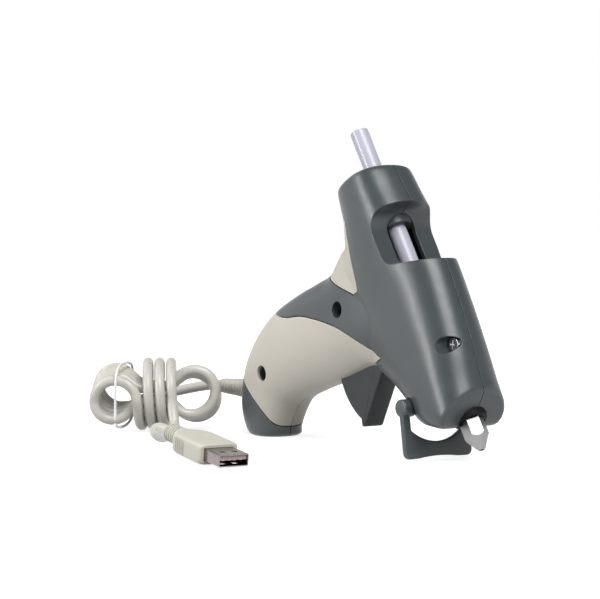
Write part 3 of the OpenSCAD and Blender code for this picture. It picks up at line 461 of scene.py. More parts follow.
# %% Rib tables
NOSE = Vector((64.0, 0.0, 18.2))
PITCH = math.radians(57.5)
BACK = Vector((-math.cos(PITCH), 0, math.sin(PITCH)))
UP = Vector((math.sin(PITCH), 0, math.cos(PITCH)))
BARREL = np.array([
    (0, 11.4, 9.4, 10.8), (0.6, 13.2, 10.2, 14.2), (2.2, 14.2, 10.8, 18.4), (4.7, 14.6, 11.4, 20.4),
    (13.7, 14.2, 13.2, 22.9), (20, 14, 15, 25.2), (25.7, 13.8, 16.3, 27.3), (38.7, 13.6, 17.8, 34),
    (53.7, 13.4, 18.8, 35), (69.7, 14.5, 15.7, 33.7), (83.7, 14.4, 13.4, 24.8), (91, 14, 12.4, 20.2),
    (97.8, 13.6, 11.8, 18.4), (101.2, 13.2, 11.2, 17.4), (102, 12.3, 10.4, 16.4)], float)
HANDLE = np.array([
    (-66.3, 0, -49.3, 0, 8.8), (-68.8, 1.2, -47.5, 1.2, 10.2), (-71.8, 6, -47.3, 3.6, 10.8),
    (-73.6, 12, -45.3, 7.4, 11.3), (-73.3, 18, -42.8, 11.2, 11.8), (-71.6, 24.8, -39.9, 14.5, 12.3),
    (-68.6, 32.1, -35.3, 17, 12.8), (-63.3, 40, -28, 19.5, 13.1), (-56.5, 47, -19.6, 22.1, 13.2),
    (-47.6, 52.9, -10.6, 24.5, 13.2), (-35.7, 58.4, -1.8, 27, 13.2), (-22.8, 63.3, 6.2, 29.7, 13.1),
    (-12.3, 68, 14.2, 32, 13), (-3.4, 79, 23.7, 31, 12.6), (10.7, 84, 37.7, 37, 11.2)], float)
BARREL_LEN = BARREL[-1, 0]
FULLNESS = 2.3
AROUND = 72
NOSE_TILT, NOSE_TILT_END, NOSE_TILT_LOW = 0.62, 25.7, 11
FACE_S, FACE_LEAN, FACE_CREASE = -4.4, 0.52, 1.6
FACE_SLANT = math.hypot(1, FACE_LEAN)
TAIL_TILT, WINDOW_BACK = 0.13, 82.7
print("ribs:", len(BARREL), "barrel,", len(HANDLE), "handle")


# %% Smooth tables
def barrel_point(u, y, s):
    return NOSE + UP * u + Vector((0, y, 0)) + BACK * s


def steady_slopes(x, y):
    """Slopes for a curve through points that doesn't swing past them."""
    h, d = np.diff(x), np.diff(y) / np.diff(x)
    m = np.zeros(len(x))
    for i in range(1, len(x) - 1):
        if d[i - 1] * d[i] > 0:
            w = (2 * h[i] + h[i - 1], h[i] + 2 * h[i - 1])
            m[i] = sum(w) / (w[0] / d[i - 1] + w[1] / d[i])
    m[0], m[-1] = d[0], d[-1]
    return m


def steady(x, y, at):
    m = steady_slopes(x, y)
    i = np.clip(np.searchsorted(x, at) - 1, 0, len(x) - 2)
    h = x[i + 1] - x[i]
    t = (at - x[i]) / h
    return ((1 + 2 * t) * (1 - t) ** 2 * y[i] + t * (1 - t) ** 2 * h * m[i]
            + t * t * (3 - 2 * t) * y[i + 1] + t * t * (t - 1) * h * m[i + 1])


def power(v, e):
    return math.copysign(abs(v) ** e, v)


FINE = np.linspace(0, BARREL_LEN, 2001)
BARREL_SHAPE = [steady(BARREL[:, 0], BARREL[:, k], FINE) for k in (1, 2, 3)]
ANGLES = 2 * math.pi * (np.arange(AROUND) + 0.5) / AROUND
print("barrel table:", len(FINE), "steps,", AROUND, "points round")

# %% [markdown]
# The nose ends in a leaning face over a chin, with a rounded rim. Each line of the barrel's skin
# finds where the wall meets that face, turns over the rim and runs back along the wall.

# %% Barrel and handle rings
RIM_ROUND, RIM_SEARCH = 1.3, 0.05
FACE_RINGS, RIM_RINGS = (0.2, 0.4, 0.55, 0.7, 0.82), (0.2, 0.4, 0.6, 0.8)
WALL_RINGS, WALL_EASE = 16, 1.4
BARREL_SPLIT, HANDLE_SPLIT, END_CLEAR = 5, 5, 0.2


def barrel_wall(t, s, inset):
    """Points of the wall at an angle round the barrel: height, side and distance behind the nose."""
    half, up, down = (np.interp(s, FINE, row) - inset for row in BARREL_SHAPE)
    u = power(math.cos(t), 2 / FULLNESS) * (up if math.cos(t) > 0 else down)
    lean = NOSE_TILT * np.maximum(0, 1 - s / NOSE_TILT_END)
    tail = TAIL_TILT * np.maximum(0, (s - WINDOW_BACK) / (BARREL_LEN - WINDOW_BACK))
    back = s - lean * (u + NOSE_TILT_LOW) - tail * u
    return np.stack([u, half * power(math.sin(t), 2 / FULLNESS), back], axis=-1)


def nose_front(u, inset):
    """Where the front of the nose lies at a height: a leaning face over a chin, with a soft crease."""
    face, chin = FACE_S + FACE_LEAN * u, -NOSE_TILT * (u + NOSE_TILT_LOW)
    return inset * FACE_SLANT + (face + chin + np.hypot(face - chin, FACE_CREASE)) / 2


def barrel_column(t, inset):
    """One line of the barrel's skin, from the middle of its face, over the rim and back along the wall."""
    s = np.arange(inset, NOSE_TILT_END, RIM_SEARCH)
    wall = barrel_wall(t, s, inset)
    ahead = wall[:, 2] - nose_front(wall[:, 0], inset)
    first = int(np.argmax(ahead >= 0))
    rim_s = s[first] if first == 0 else np.interp(0, ahead[first - 1:first + 1], s[first - 1:first + 1])
    rim = barrel_wall(t, rim_s, inset)
    radius = math.hypot(rim[0], rim[1])
    face = [np.array([rim[0] * f, rim[1] * f, nose_front(rim[0] * f, inset)])
            for f in (*FACE_RINGS, 1 - RIM_ROUND / radius)]
    start = rim_s + RIM_ROUND
    eased = np.linspace(0, 1, WALL_RINGS) ** WALL_EASE
    back = barrel_wall(t, start + (NOSE_TILT_END - start) * eased, inset)
    turn = [face[-1] * (1 - k) ** 2 + rim * 2 * k * (1 - k) + back[0] * k * k for k in RIM_RINGS]
    ribs = BARREL[BARREL[:, 0] >= NOSE_TILT_END, 0]
    stops = np.concatenate([np.linspace(a, b, BARREL_SPLIT)[1:] for a, b in zip(ribs, ribs[1:])])
    stops = np.append(stops[stops < BARREL_LEN - inset - END_CLEAR], BARREL_LEN - inset)
    return [*face, *turn, *back, *barrel_wall(t, stops, inset)]


def barrel_rings(inset):
    columns = [barrel_column(t, inset) for t in ANGLES]
    return [[barrel_point(*column[k]) for column in columns] for k in range(len(columns[0]))]


def handle_rings(inset, first=0):
    """Rings of the handle's skin, drawn inwards, from a rib of its table on."""
    ribs = smooth_line(HANDLE, HANDLE_SPLIT)[first * HANDLE_SPLIT:]
    rings = []
    for bx, bz, fx, fz, width in ribs:
        back, front = Vector((bx, 0, bz)), Vector((fx, 0, fz))
        middle, half = (back + front) / 2, (back - front).length / 2
        out = (back - front) / (2 * half)
        rings.append([
            middle + out * power(math.cos(t), 2 / FULLNESS) * (half - inset)
            + Vector((0, -power(math.sin(t), 2 / FULLNESS) * (width - inset), 0)) for t in ANGLES])
    return rings


print("rings of the outer barrel:", len(barrel_rings(0)))

# %% [markdown]
# Three plain solids make almost all that follows: a skin over rings, an outline pushed through a
# depth, and a round peg. Booleans join and cut them, because each cutter is easy to place and the
# surface round a cut stays as it was.

# %% Solids and cuts
SMOOTH_BELOW = math.radians(35)
PEG_SIDES = 48


def loft(name, rings):
    """A grid wrapped round rings of points, with its ends closed."""
    around, along = len(rings[0]), len(rings)
    bpy.ops.object.select_all(action="DESELECT")
    bpy.ops.mesh.primitive_grid_add(x_subdivisions=around, y_subdivisions=along - 1, size=1.0)
    ob = bpy.context.object
    ob.name = name
    for j, ring in enumerate(rings):
        for i in range(around + 1):
            ob.data.vertices[j * (around + 1) + i].co = ring[i % around] * MM
    bpy.ops.object.mode_set(mode="EDIT")
    bpy.ops.mesh.select_all(action="SELECT")
    bpy.ops.mesh.remove_doubles(threshold=1e-7)
    bpy.ops.mesh.fill_holes(sides=0)
    bpy.ops.mesh.select_all(action="SELECT")
    bpy.ops.mesh.normals_make_consistent(inside=False)
    bpy.ops.object.mode_set(mode="OBJECT")
    return ob


def prism(name, outline, low, high, place=lambda p, d: Vector((p[0], d, p[1]))):
    """A flat outline pushed through a depth: by default an x, z outline along y."""
    bpy.ops.object.select_all(action="DESELECT")
    bpy.ops.mesh.primitive_circle_add(vertices=len(outline), fill_type="NGON")
    ob = bpy.context.object
    ob.name = name
    for vertex, p in zip(ob.data.vertices, outline):
        vertex.co = place(p, low) * MM
    step = (place(outline[0], high) - place(outline[0], low)) * MM
    bpy.ops.object.mode_set(mode="EDIT")
    bpy.ops.mesh.select_all(action="SELECT")
    bpy.ops.mesh.extrude_region_move(TRANSFORM_OT_translate={"value": step})
    bpy.ops.mesh.select_all(action="SELECT")
    bpy.ops.mesh.normals_make_consistent(inside=False)
    bpy.ops.object.mode_set(mode="OBJECT")
    return ob


def peg(name, start, end, radius):
    """A round peg between two points, in millimetres."""
    start, end = Vector(start), Vector(end)
    bpy.ops.object.select_all(action="DESELECT")
    bpy.ops.mesh.primitive_cone_add(vertices=PEG_SIDES, radius1=radius * MM, radius2=radius * MM,
                                    depth=(end - start).length * MM)
    ob = bpy.context.object
    ob.name = name
    turn = (end - start).to_track_quat("Z", "Y").to_matrix().to_4x4()
    ob.data.transform(Matrix.Translation((start + end) / 2 * MM) @ turn)
    return ob


def select_only(ob):
    """Deselect everything, then make one object selected and active."""
    if bpy.context.object and bpy.context.object.mode != "OBJECT":
        bpy.ops.object.mode_set(mode="OBJECT")
    bpy.ops.object.select_all(action="DESELECT")
    ob.select_set(True)
    bpy.context.view_layer.objects.active = ob


def apply_all(ob):
    select_only(ob)
    for modifier in list(ob.modifiers):
        bpy.ops.object.modifier_apply(modifier=modifier.name)


def combine(target, other, operation, keep=False):
    """Joins, cuts or keeps the common part of two solids."""
    modifier = target.modifiers.new(operation.lower(), "BOOLEAN")
    modifier.operation = operation
    modifier.solver = "EXACT"
    modifier.object = other
    apply_all(target)
    if not keep:
        bpy.data.objects.remove(other)
    return target


def copy_of(ob, name):
    made = ob.copy()
    made.data = ob.data.copy()
    made.name = name
    scene.collection.objects.link(made)
    return made


def soften(ob):
    select_only(ob)
    bpy.ops.object.shade_smooth_by_angle(angle=SMOOTH_BELOW)


# %% Body skins
WALL = 3.2
PANEL_T = 1.4
PANEL_GAP = 0.25
EDGE_GAP = 0.45
HOLLOW_FROM_RIB = 3


def body_skin(name, inset, first=0):
    barrel, handle = loft(name, barrel_rings(inset)), loft("handle_skin", handle_rings(inset, first))
    return combine(barrel, handle, "UNION")


outer = body_skin("body_outer", 0)
seat = body_skin("body_seat", PANEL_T + PANEL_GAP)
under = body_skin("panel_under", PANEL_T)
hollow = body_skin("body_hollow", WALL, HOLLOW_FROM_RIB)
print("body skin faces:", len(outer.data.polygons))

# %% [markdown]
# Two pale panels a side lie flush in the body: a large one on the grip and a small one behind the
# barrel. They could be a second colour on one mesh, but a real gap round each gives its shadow line,
# so each panel is cut from the same skin. Their edge lines come from the photograph.

# %% Panel outlines
GRIP_TOP = [(-62.3, 58.5), (-49.8, 51.3), (-35.8, 49.2), (-23.1, 50.2), (-7.6, 48.7), (3.2, 46.2),
            (13.7, 41.8), (27.2, 36)]
GRIP_FRONT = [(18.7, 33.6), (11.7, 28), (4.7, 22), (-20.3, 17), (-36.3, 11), (-41.3, 5)]
GRIP_LOW = [(-44.3, 4.2), (-48.3, 4.6), (-52.8, 11), (-57.8, 16), (-64.8, 21.5), (-71.3, 25), (-82.3, 29)]
GRIP_BACK = (-86.3, 45)
TOP_STEPS, LOW_STEPS = 6, 5
TAIL_PANEL = [(5.3, 88), (7.6, 82), (13.6, 65.2), (13.9, 61), (11.2, 59.2), (-6.2, 64.2), (-16.3, 68.2),
              (-26.3, 80), (-14.3, 90)]
grip_outline = [*map(tuple, smooth_line(GRIP_TOP, TOP_STEPS)), *GRIP_FRONT,
                *map(tuple, smooth_line(GRIP_LOW, LOW_STEPS)), GRIP_BACK]
HALF_WIDTH = 40.0
print("grip outline points:", len(grip_outline))


def drawn_in(outline, gap):
    """An outline that runs clockwise, moved inwards."""
    p = np.array(outline, float)
    along = np.roll(p, -1, axis=0) - np.roll(p, 1, axis=0)
    along /= np.linalg.norm(along, axis=1)[:, None]
    return [tuple(q) for q in p + gap * np.stack([along[:, 1], -along[:, 0]], axis=1)]


def both_panels(gap):
    outlines = [drawn_in(outline, gap) for outline in (grip_outline, TAIL_PANEL)]
    return [prism("panel_block", outline, -HALF_WIDTH, HALF_WIDTH) for outline in outlines]


# %% [markdown]
# ## Holes and pockets
# The sunk window with its stick slot, the bore for the stick and the heater, the trigger's slot,
# the screw wells, the stand's sockets and the hole for the strain relief. Each is one cutter, kept
# in a list, because the panels need some of the same cuts as the body.

# %% Window shape
WINDOW_TOP, WINDOW_LIP_U, WINDOW_LIP_S, WINDOW_RAMP = 40.0, 18.4, 54.5, 0.4
WINDOW_FLOOR, WINDOW_FOOT, WINDOW_ROUND, WINDOW_FILLET = 2.0, 61.2, 4.0, 8.2
LIP_GROW, FOOT_GROW, PAN_GROW = 1.4, 0.6, 2
ROUND_STEPS, FILLET_STEPS = 5, 12


def across_barrel(p, d):
    """Places a point given as height and distance behind the nose, at a distance to the side."""
    return barrel_point(p[0], d, p[1])


def window_profile(grow):
    """Side view of the sunk window: a front ramp, a floor and a round back wall."""
    ramp_run = (WINDOW_TOP - WINDOW_LIP_U) * WINDOW_RAMP
    ramp_top = Vector((WINDOW_TOP, WINDOW_LIP_S - grow * LIP_GROW - ramp_run))
    foot = Vector((WINDOW_FLOOR - grow, WINDOW_FOOT - grow * FOOT_GROW))
    before = foot + (ramp_top - foot).normalized() * WINDOW_ROUND
    after = foot + Vector((0, WINDOW_ROUND))
    points = [ramp_top]
    for k in range(ROUND_STEPS + 1):
        t = k / ROUND_STEPS
        points.append(before * (1 - t) ** 2 + foot * 2 * t * (1 - t) + after * t * t)
    radius = WINDOW_FILLET + grow
    for k in range(FILLET_STEPS + 1):
        t = math.radians(90 / FILLET_STEPS * k)
        points.append(Vector((WINDOW_FLOOR - grow + radius * (1 - math.cos(t)),
                              WINDOW_BACK - WINDOW_FILLET + radius * math.sin(t))))
    points.append(Vector((WINDOW_TOP, WINDOW_BACK + grow)))
    return [tuple(p) for p in points]


print("window outline points:", len(window_profile(0)))

# %% Cutters
GUIDE_FRONT, BORE_OVERLAP = 78.4, 0.3
BORES = {"collar_bore": (-20, 4, 6.3), "chamber_bore": (3, 19, 6.3), "stick_bore": (18, GUIDE_FRONT, 4.8),
         "guide_bore": (GUIDE_FRONT - BORE_OVERLAP, 110, 6.2)}
SLOT_FRONT, SLOT_BACK, SLOT_HALF, SLOT_CORNER = 58.0, 80.9, 6.8, 4.2
SLOT_LOW, SLOT_HIGH = -2, 14
TRIGGER_AT, STAND_AT = (19.2, 37.0), (44.2, 19.0)
TRIGGER_SLOT = [(24.7, 39), (24.7, 20), (-12.3, 20), (-12.3, 42), (13.7, 44)]
TRIGGER_W, TRIGGER_PLAY, PIN_HOLE_R = 9.0, 0.3, 1.55
NOSE_SCREW_U, NOSE_SCREW_S = 12.2, 21.6
SCREWS = [(NOSE + BACK * NOSE_SCREW_S + UP * NOSE_SCREW_U).xz, Vector((1.2, 53.5)), Vector((-49.4, 26.0))]
SCREW_HEAD_Y, SCREW_WELL_R, SCREW_HOLE_Y, SCREW_HOLE_R, BOSS_WALL = -4.2, 3.2, (-5.2, 7), 1.55, 1.2
RELIEF_Z, RELIEF_END, RELIEF_ROOT, RELIEF_R = 17.5, -97.1, -66.7, 4.15
FLANGE_T, FLANGE_OVER, FLANGE_R = 1.7, 0.1, 5.7
STAND_SOCKET, STUB_HOLE = (10, 20, 3.8), (5, 11, 2.05)


def arc(centre, radius, degrees):
    """Points of a round about a centre."""
    turns = [math.radians(a) for a in degrees]
    return [(centre[0] + radius * math.cos(t), centre[1] + radius * math.sin(t)) for t in turns]


def across_slot(p, d):
    """Places a point given as distance behind the nose and to the side, at a height."""
    return barrel_point(d, p[1], p[0])


def along_barrel(name, s0, s1, r):
    return peg(name, barrel_point(0, 0, s0), barrel_point(0, 0, s1), r)


def across(name, place, y0, y1, r):
    return peg(name, (place[0], y0, place[1]), (place[0], y1, place[1]), r)


slot_outline = [(SLOT_FRONT, -SLOT_HALF), (SLOT_FRONT, SLOT_HALF)]
for side, turns in ((1, range(90, -1, -15)), (-1, range(0, -91, -15))):
    slot_outline += arc((SLOT_BACK - SLOT_CORNER, side * (SLOT_HALF - SLOT_CORNER)), SLOT_CORNER, turns)
cutters = [
    prism("window_scoop", window_profile(0), -HALF_WIDTH, HALF_WIDTH, across_barrel),
    prism("window_slot", slot_outline, SLOT_LOW, SLOT_HIGH, across_slot),
    *(along_barrel(name, *bore) for name, bore in BORES.items()),
    prism("trigger_gap", TRIGGER_SLOT, -TRIGGER_W / 2 - TRIGGER_PLAY, TRIGGER_W / 2 + TRIGGER_PLAY),
    peg("relief_hole", (RELIEF_END, 0, RELIEF_Z), (RELIEF_ROOT, 0, RELIEF_Z), RELIEF_R),
    peg("flange_pocket", (RELIEF_ROOT - FLANGE_T, 0, RELIEF_Z), (RELIEF_ROOT + FLANGE_OVER, 0, RELIEF_Z),
        FLANGE_R),
]
for place in SCREWS:
    cutters.append(across("screw_well", place, -HALF_WIDTH, SCREW_HEAD_Y, SCREW_WELL_R))
    cutters.append(across("screw_hole", place, *SCREW_HOLE_Y, SCREW_HOLE_R))
for side in (-1, 1):
    for name, (near, far, radius) in (("stand_socket", STAND_SOCKET), ("stub_hole", STUB_HOLE)):
        cutters.append(across(name, STAND_AT, near * side, far * side, radius))
print("cutters:", len(cutters))

# %% [markdown]
# The whole body is hollowed and cut first and then split along its seam, so that both halves match
# and a thin seam line shows between them.


# %% Body halves
def box_solid(name, low, high):
    bpy.ops.object.select_all(action="DESELECT")
    bpy.ops.mesh.primitive_cube_add(size=1.0)
    ob = bpy.context.object
    ob.name = name
    for vertex in ob.data.vertices:
        vertex.co = [(high[k] if vertex.co[k] > 0 else low[k]) * MM for k in range(3)]
    return ob


SEAM = 0.17
BIG = 200.0
SIDES = {"right": ((-BIG, -BIG, -BIG), (BIG, -SEAM, BIG)), "left": ((-BIG, SEAM, -BIG), (BIG, BIG, BIG))}


def halves(whole, name, slot, material, node):
    """Splits a solid along the seam into its right and left pieces."""
    for side, (low, high) in SIDES.items():
        piece = copy_of(whole, f"{side}_{name}")
        combine(piece, box_solid("half", low, high), "INTERSECT")
        soften(piece)
        dress(piece, "body", slot, material, f"{side}_{node}")
        print(piece.name, "faces:", len(piece.data.polygons))
    bpy.data.objects.remove(whole)


whole_body = copy_of(outer, "whole_body")
for block in both_panels(0):
    combine(block, seat, "DIFFERENCE", keep=True)
    combine(whole_body, block, "DIFFERENCE")
window_pan = prism("window_pan", window_profile(PAN_GROW), -HALF_WIDTH, HALF_WIDTH, across_barrel)
combine(hollow, window_pan, "DIFFERENCE")
for place in SCREWS:
    boss = across("screw_boss", place, -HALF_WIDTH, HALF_WIDTH, SCREW_WELL_R + BOSS_WALL)
    combine(hollow, boss, "DIFFERENCE")
combine(whole_body, hollow, "DIFFERENCE")
for cutter in cutters:
    combine(whole_body, cutter, "DIFFERENCE", keep=True)
halves(whole_body, "body_half", "body_grey", slate, "shell")

# %% Pale panels
PANEL_CUTS = ("screw_well", "window_scoop", "guide_bore", "relief_hole")

skin = copy_of(outer, "panel_skin")
combine(skin, under, "DIFFERENCE")
for name, block in zip(("grip", "tail"), both_panels(EDGE_GAP)):
    panel = copy_of(skin, f"{name}_panels")
    combine(panel, block, "INTERSECT")
    for cutter in cutters:
        if cutter.name.startswith(PANEL_CUTS):
            combine(panel, cutter, "DIFFERENCE", keep=True)
    halves(panel, f"{name}_cover", "panel_grey", warm_grey, f"{name}_panel")
for helper in [skin, outer, seat, *cutters]:
    bpy.data.objects.remove(helper)

# %% [markdown]
# ## Trigger and stand
# The trigger is one moulded blade with a hub and an inner arm that pushes the feed carriage. Its
# outline is pushed through its width, a bevel rounds its edges and an inset sinks its flat sides a
# little. A skin over ribs would make the sides swell, and the moulding's are flat.


# %% Trigger blade
def round_edges(ob, width, segments, angle):
    """Rounds the edges that are sharper than an angle."""
    bevel = ob.modifiers.new("round", "BEVEL")
    bevel.width = width * MM
    bevel.segments = segments
    bevel.limit_method = "ANGLE"
    bevel.angle_limit = math.radians(angle)
    apply_all(ob)


BLADE_FRONT, BLADE_BACK = (19.8, 32.0), (15.2, 38.0)
TIP_AT, TIP_R, TIP_TURNS = (6.9, 10.4), 1.8, range(-10, -121, -22)
BACK_R, BACK_TURNS = 29, range(242, 195, -3)
HUB_R, BLADE_ROUND, SIDE_INSET, SIDE_SINK = 4.4, 1.2, 0.4, 0.3
SIDEWAYS = 0.99

blade = [BLADE_FRONT, *arc(TIP_AT, TIP_R, TIP_TURNS), *arc(TRIGGER_AT, BACK_R, BACK_TURNS), BLADE_BACK]
trigger = prism("trigger_blade", blade, -TRIGGER_W / 2, TRIGGER_W / 2)
round_edges(trigger, BLADE_ROUND, segments=4, angle=60)
select_only(trigger)
bpy.ops.object.mode_set(mode="EDIT")
bpy.ops.mesh.select_all(action="DESELECT")
bpy.ops.object.mode_set(mode="OBJECT")
for face in trigger.data.polygons:
    face.select = abs(face.normal.y) > SIDEWAYS
bpy.ops.object.mode_set(mode="EDIT")
bpy.ops.mesh.inset(thickness=SIDE_INSET * MM, depth=-SIDE_SINK * MM)
bpy.ops.object.mode_set(mode="OBJECT")
combine(trigger, across("trigger_hub", TRIGGER_AT, -TRIGGER_W / 2, TRIGGER_W / 2, HUB_R), "UNION")
print("trigger blade faces:", len(trigger.data.polygons))

# %% Trigger arm
PULL, ARM_ANGLE = math.radians(16), math.radians(40.5)
PIN_U = -9.4
ARM_HALF, ARM_DEPTH, ARM_PAST_PIN = 3, 2.5, 1.9
SLOT_BEFORE_PIN, PIN_SLOT_HALF, CUT_OVER = 2.2, 1.28, 3
THROUGH_ARM, THROUGH_HUB = 6, 10
pivot = Vector((TRIGGER_AT[0], 0, TRIGGER_AT[1]))
arm_reach = (PIN_U - (pivot - NOSE).dot(UP)) / math.cos(PULL / 2)
arm_end = arm_reach + ARM_PAST_PIN
arm_way = Vector((math.cos(ARM_ANGLE), 0, math.sin(ARM_ANGLE)))
arm_side = Vector((-math.sin(ARM_ANGLE), 0, math.cos(ARM_ANGLE)))


def on_arm(p, d):
    """A point of the arm, given along it and square to it, at a distance to the side."""
    return pivot + arm_way * p[0] + arm_side * p[1] + Vector((0, d, 0))


def oblong(x, y):
    """The outline of an oblong between two limits each way."""
    return [(x[0], y[0]), (x[1], y[0]), (x[1], y[1]), (x[0], y[1])]


arm = prism("trigger_arm", oblong((0, arm_end), (-ARM_HALF, ARM_HALF)), -ARM_DEPTH, ARM_DEPTH, on_arm)
combine(trigger, arm, "UNION")
pin_slot = oblong((arm_reach - SLOT_BEFORE_PIN, arm_end + CUT_OVER), (-PIN_SLOT_HALF, PIN_SLOT_HALF))
combine(trigger, prism("pin_slot", pin_slot, -THROUGH_ARM, THROUGH_ARM, on_arm), "DIFFERENCE")
combine(trigger, across("pivot_bore", TRIGGER_AT, -THROUGH_HUB, THROUGH_HUB, PIN_HOLE_R), "DIFFERENCE")
soften(trigger)
dress(trigger, "trigger", "trigger_grey", dark_slate, "trigger")
print("trigger arm reach:", round(arm_reach, 2), "mm")

# %% [markdown]
# The stand is a flat plate with an arch cut in it and a slightly hollow foot, hung on two stubs that
# sit in the body's sockets. One outline gives the arch, the corners and the foot, so nothing has to
# be cut from it afterwards.

# %% Stand
LEAN = math.radians(9)
stand_down = Vector((math.sin(LEAN), 0, -math.cos(LEAN)))
stand_front = Vector((math.cos(LEAN), 0, math.sin(LEAN)))
stand_at = Vector((STAND_AT[0], 0, STAND_AT[1]))
STAND_IN, STAND_OUT, STAND_T = 12.2, 15.6, 2.4
ARCH_R, ARCH_DROP, STAND_CORNER = 19.0, 12.8, 2.4
HOLLOW_R, HOLLOW_RISE, HOLLOW_HALF = 70.0, 0.8, 9.5
FOOT_SHORT = 0.3
FOOT = STAND_AT[1] / math.cos(LEAN) - FOOT_SHORT
EYE_IN, EYE_R, STUB_Y, STUB_R = 10.3, 3.3, (6, 11), 2.0
PLATE_ROUND, EYE_ROUND = 0.45, 0.4
ARCH_STEPS, CORNER_STEPS, HOLLOW_STEPS = 24, 4, 12


def on_stand(p, d):
    """A point of the plate, given as sideways place and drop below the pivot, at a depth."""
    return stand_at + Vector((0, p[0], 0)) + stand_down * p[1] + stand_front * d


plate = [(-STAND_OUT, 0), (-STAND_IN, 0)]
arch_half = math.asin(STAND_IN / ARCH_R)
for k in range(ARCH_STEPS + 1):
    a = arch_half * (2 * k / ARCH_STEPS - 1)
    plate.append((ARCH_R * math.sin(a), ARCH_R * math.cos(a) - (ARCH_R - ARCH_DROP)))
plate += [(STAND_IN, 0), (STAND_OUT, 0)]
for side in (1, -1):
    for k in range(CORNER_STEPS + 1):
        turned = 90 / CORNER_STEPS * k
        a = math.radians(turned if side > 0 else 90 - turned)
        corner_out = STAND_OUT - STAND_CORNER * (1 - math.cos(a))
        plate.append((side * corner_out, FOOT - STAND_CORNER * (1 - math.sin(a))))
    if side > 0:
        for y in np.linspace(HOLLOW_HALF, -HOLLOW_HALF, HOLLOW_STEPS + 1):
            rise = STAND_AT[1] - HOLLOW_RISE + HOLLOW_R - math.sqrt(HOLLOW_R ** 2 - y * y)
            plate.append((float(y), min(FOOT, rise)))
stand = prism("stand_plate", plate, -STAND_T / 2, STAND_T / 2, on_stand)
round_edges(stand, PLATE_ROUND, segments=3, angle=50)
for side in (-1, 1):
    eye = across("stand_eye", STAND_AT, side * EYE_IN, side * STAND_OUT, EYE_R)
    round_edges(eye, EYE_ROUND, segments=3, angle=50)
    combine(stand, eye, "UNION")
    stub = across("stand_stub", STAND_AT, side * STUB_Y[0], side * STUB_Y[1], STUB_R)
    combine(stand, stub, "UNION")
soften(stand)
dress(stand, "stand", "stand_grey", slate, "stand")
print("stand faces:", len(stand.data.polygons))

# %% [markdown]
# ## Plug
# The grip is a boxy moulding with ribbed sides that narrows into its own small strain relief. It is
# a skin over ribs, as the body is, because its section changes from a box to a round; boxes and
# rings then cut its grooves.

# %% Plug grip
PLUG_AT = Vector((28.7, -78.7, 2.6))
PLUG_TURN, PLUG_TIP = math.radians(-5.6), math.radians(6.5)
PLUG_RIBS = np.array([
    (11.5, 7.3, 3.3), (12.1, 7.8, 3.8), (13, 8, 4), (29, 8, 4), (34, 7.4, 3.9), (36.5, 5.2, 3.9),
    (38, 4.2, 3.8), (39.5, 3.9, 3.7), (49.6, 3.3, 3.3), (50.2, 3, 3)])
PLUG_SPLIT = 5
BOX_UNTIL, ROUND_FROM, BOX_FULLNESS, ROUND_FULLNESS = 33, 38, 6, 2
plug_ahead = Vector((math.cos(PLUG_TURN), math.sin(PLUG_TURN), 0))
plug_back = Vector((0, 0, math.sin(PLUG_TIP))) - plug_ahead * math.cos(PLUG_TIP)
plug_up = Vector((0, 0, math.cos(PLUG_TIP))) + plug_ahead * math.sin(PLUG_TIP)
plug_side = Vector((-math.sin(PLUG_TURN), math.cos(PLUG_TURN), 0))


def on_plug(across_way, up, back):
    return PLUG_AT + plug_back * back + plug_side * across_way + plug_up * up


rib_at = PLUG_RIBS[:, 0]
stops = np.concatenate([np.linspace(a, b, PLUG_SPLIT)[:-1] for a, b in zip(rib_at, rib_at[1:])])
plug_rings = []
for s in np.append(stops, rib_at[-1]):
    wide, high = (steady(rib_at, PLUG_RIBS[:, k], s) for k in (1, 2))
    full = np.interp(s, [BOX_UNTIL, ROUND_FROM], [BOX_FULLNESS, ROUND_FULLNESS])
    plug_rings.append([
        on_plug(power(math.sin(t), 2 / full) * wide, power(math.cos(t), 2 / full) * high, s) for t in ANGLES])
plug = loft("plug_handle", plug_rings)
print("plug rings:", len(plug_rings))

# %% Plug pocket and grooves
POCKET_HALF, POCKET_RISE, POCKET_BACK = 6.05, 2.3, (10, 15.5)
CORD_BORE_BACK, CORD_BORE_R = (45, 60), 2.15
GROOVES, GROOVE_FROM, GROOVE_STEP, GROOVE_W = 7, 24, 1.5, 0.7
GROOVE_IN, GROOVE_OUT, GROOVE_HIGH = 7.7, 9.5, 6
TAIL_GROOVES, TAIL_FROM, TAIL_STEP, TAIL_W, TAIL_R, TAIL_CORE_R = 5, 41, 1.8, 1, 6, 2.95


def plug_level(p, d):
    """Places a point given as sideways place and distance behind the tip, at a height."""
    return on_plug(p[0], d, p[1])


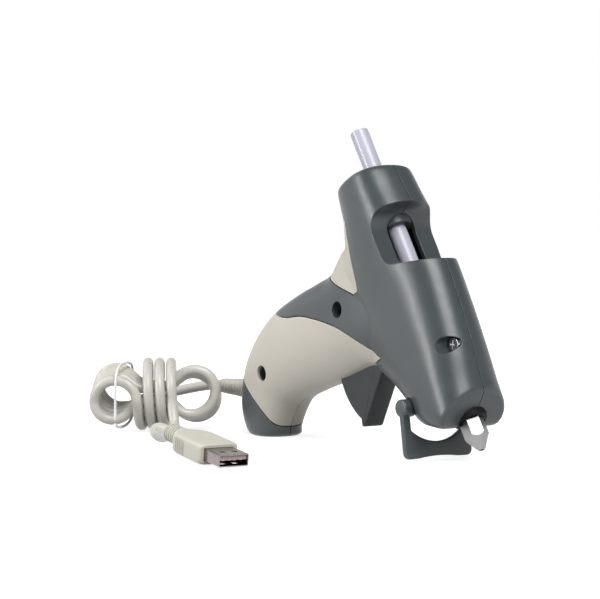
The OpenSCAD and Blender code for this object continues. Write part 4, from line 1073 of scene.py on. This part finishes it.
def plug_box(name, y, up, back):
    """A box on the plug between two limits each way."""
    return prism(name, oblong(y, back), up[0], up[1], plug_level)


def plug_peg(name, start, end, radius):
    return peg(name, on_plug(0, 0, start), on_plug(0, 0, end), radius)


pocket = plug_box("shell_pocket", (-POCKET_HALF, POCKET_HALF), (-POCKET_RISE, POCKET_RISE), POCKET_BACK)
combine(plug, pocket, "DIFFERENCE")
combine(plug, plug_peg("cord_bore", *CORD_BORE_BACK, CORD_BORE_R), "DIFFERENCE")
for k in range(GROOVES):
    start = GROOVE_FROM + GROOVE_STEP * k
    for side in (-1, 1):
        reach = sorted((side * GROOVE_IN, side * GROOVE_OUT))
        groove = plug_box("side_groove", reach, (-GROOVE_HIGH, GROOVE_HIGH), (start, start + GROOVE_W))
        combine(plug, groove, "DIFFERENCE")
for k in range(TAIL_GROOVES):
    start = TAIL_FROM + TAIL_STEP * k
    ring = plug_peg("tail_groove", start, start + TAIL_W, TAIL_R)
    core = plug_peg("tail_core", start - TAIL_W, start + 2 * TAIL_W, TAIL_CORE_R)
    combine(ring, core, "DIFFERENCE")
    combine(plug, ring, "DIFFERENCE")
soften(plug)
dress(plug, "body", "plug_ivory", plug_skin, "plug_grip")
print("plug faces:", len(plug.data.polygons))

# %% [markdown]
# ## Finishes of the CAD pieces
# Pieces whose CAD shape is already right keep it and get their finish here: rebuilding them would
# add nothing that can be seen. Shared plating goes to all the small steel pieces.

# %% CAD finishes
CAD_FINISH = {
    "nozzle": chrome, "nozzle_collar": collar_black, "melt_chamber": alloy, "heater_element": ceramic,
    "heater_clip": steel, "heater_leads": tie_skin, "inlet_sleeve": silicone, "stick_guide": slate,
    "glue_stick": glue, "feed_carriage": nylon, "drive_pin": steel, "feed_spring": steel,
    "trigger_pin": steel, "case_screws": screw_plate, "strain_relief": relief_skin,
    "plug_shell": plug_metal, "plug_tongue": tongue_pale, "plug_contacts": gold,
}
for name, material in CAD_FINISH.items():
    for place in nodes[name].material_slots:
        place.material = material
print("CAD pieces finished:", len(CAD_FINISH))
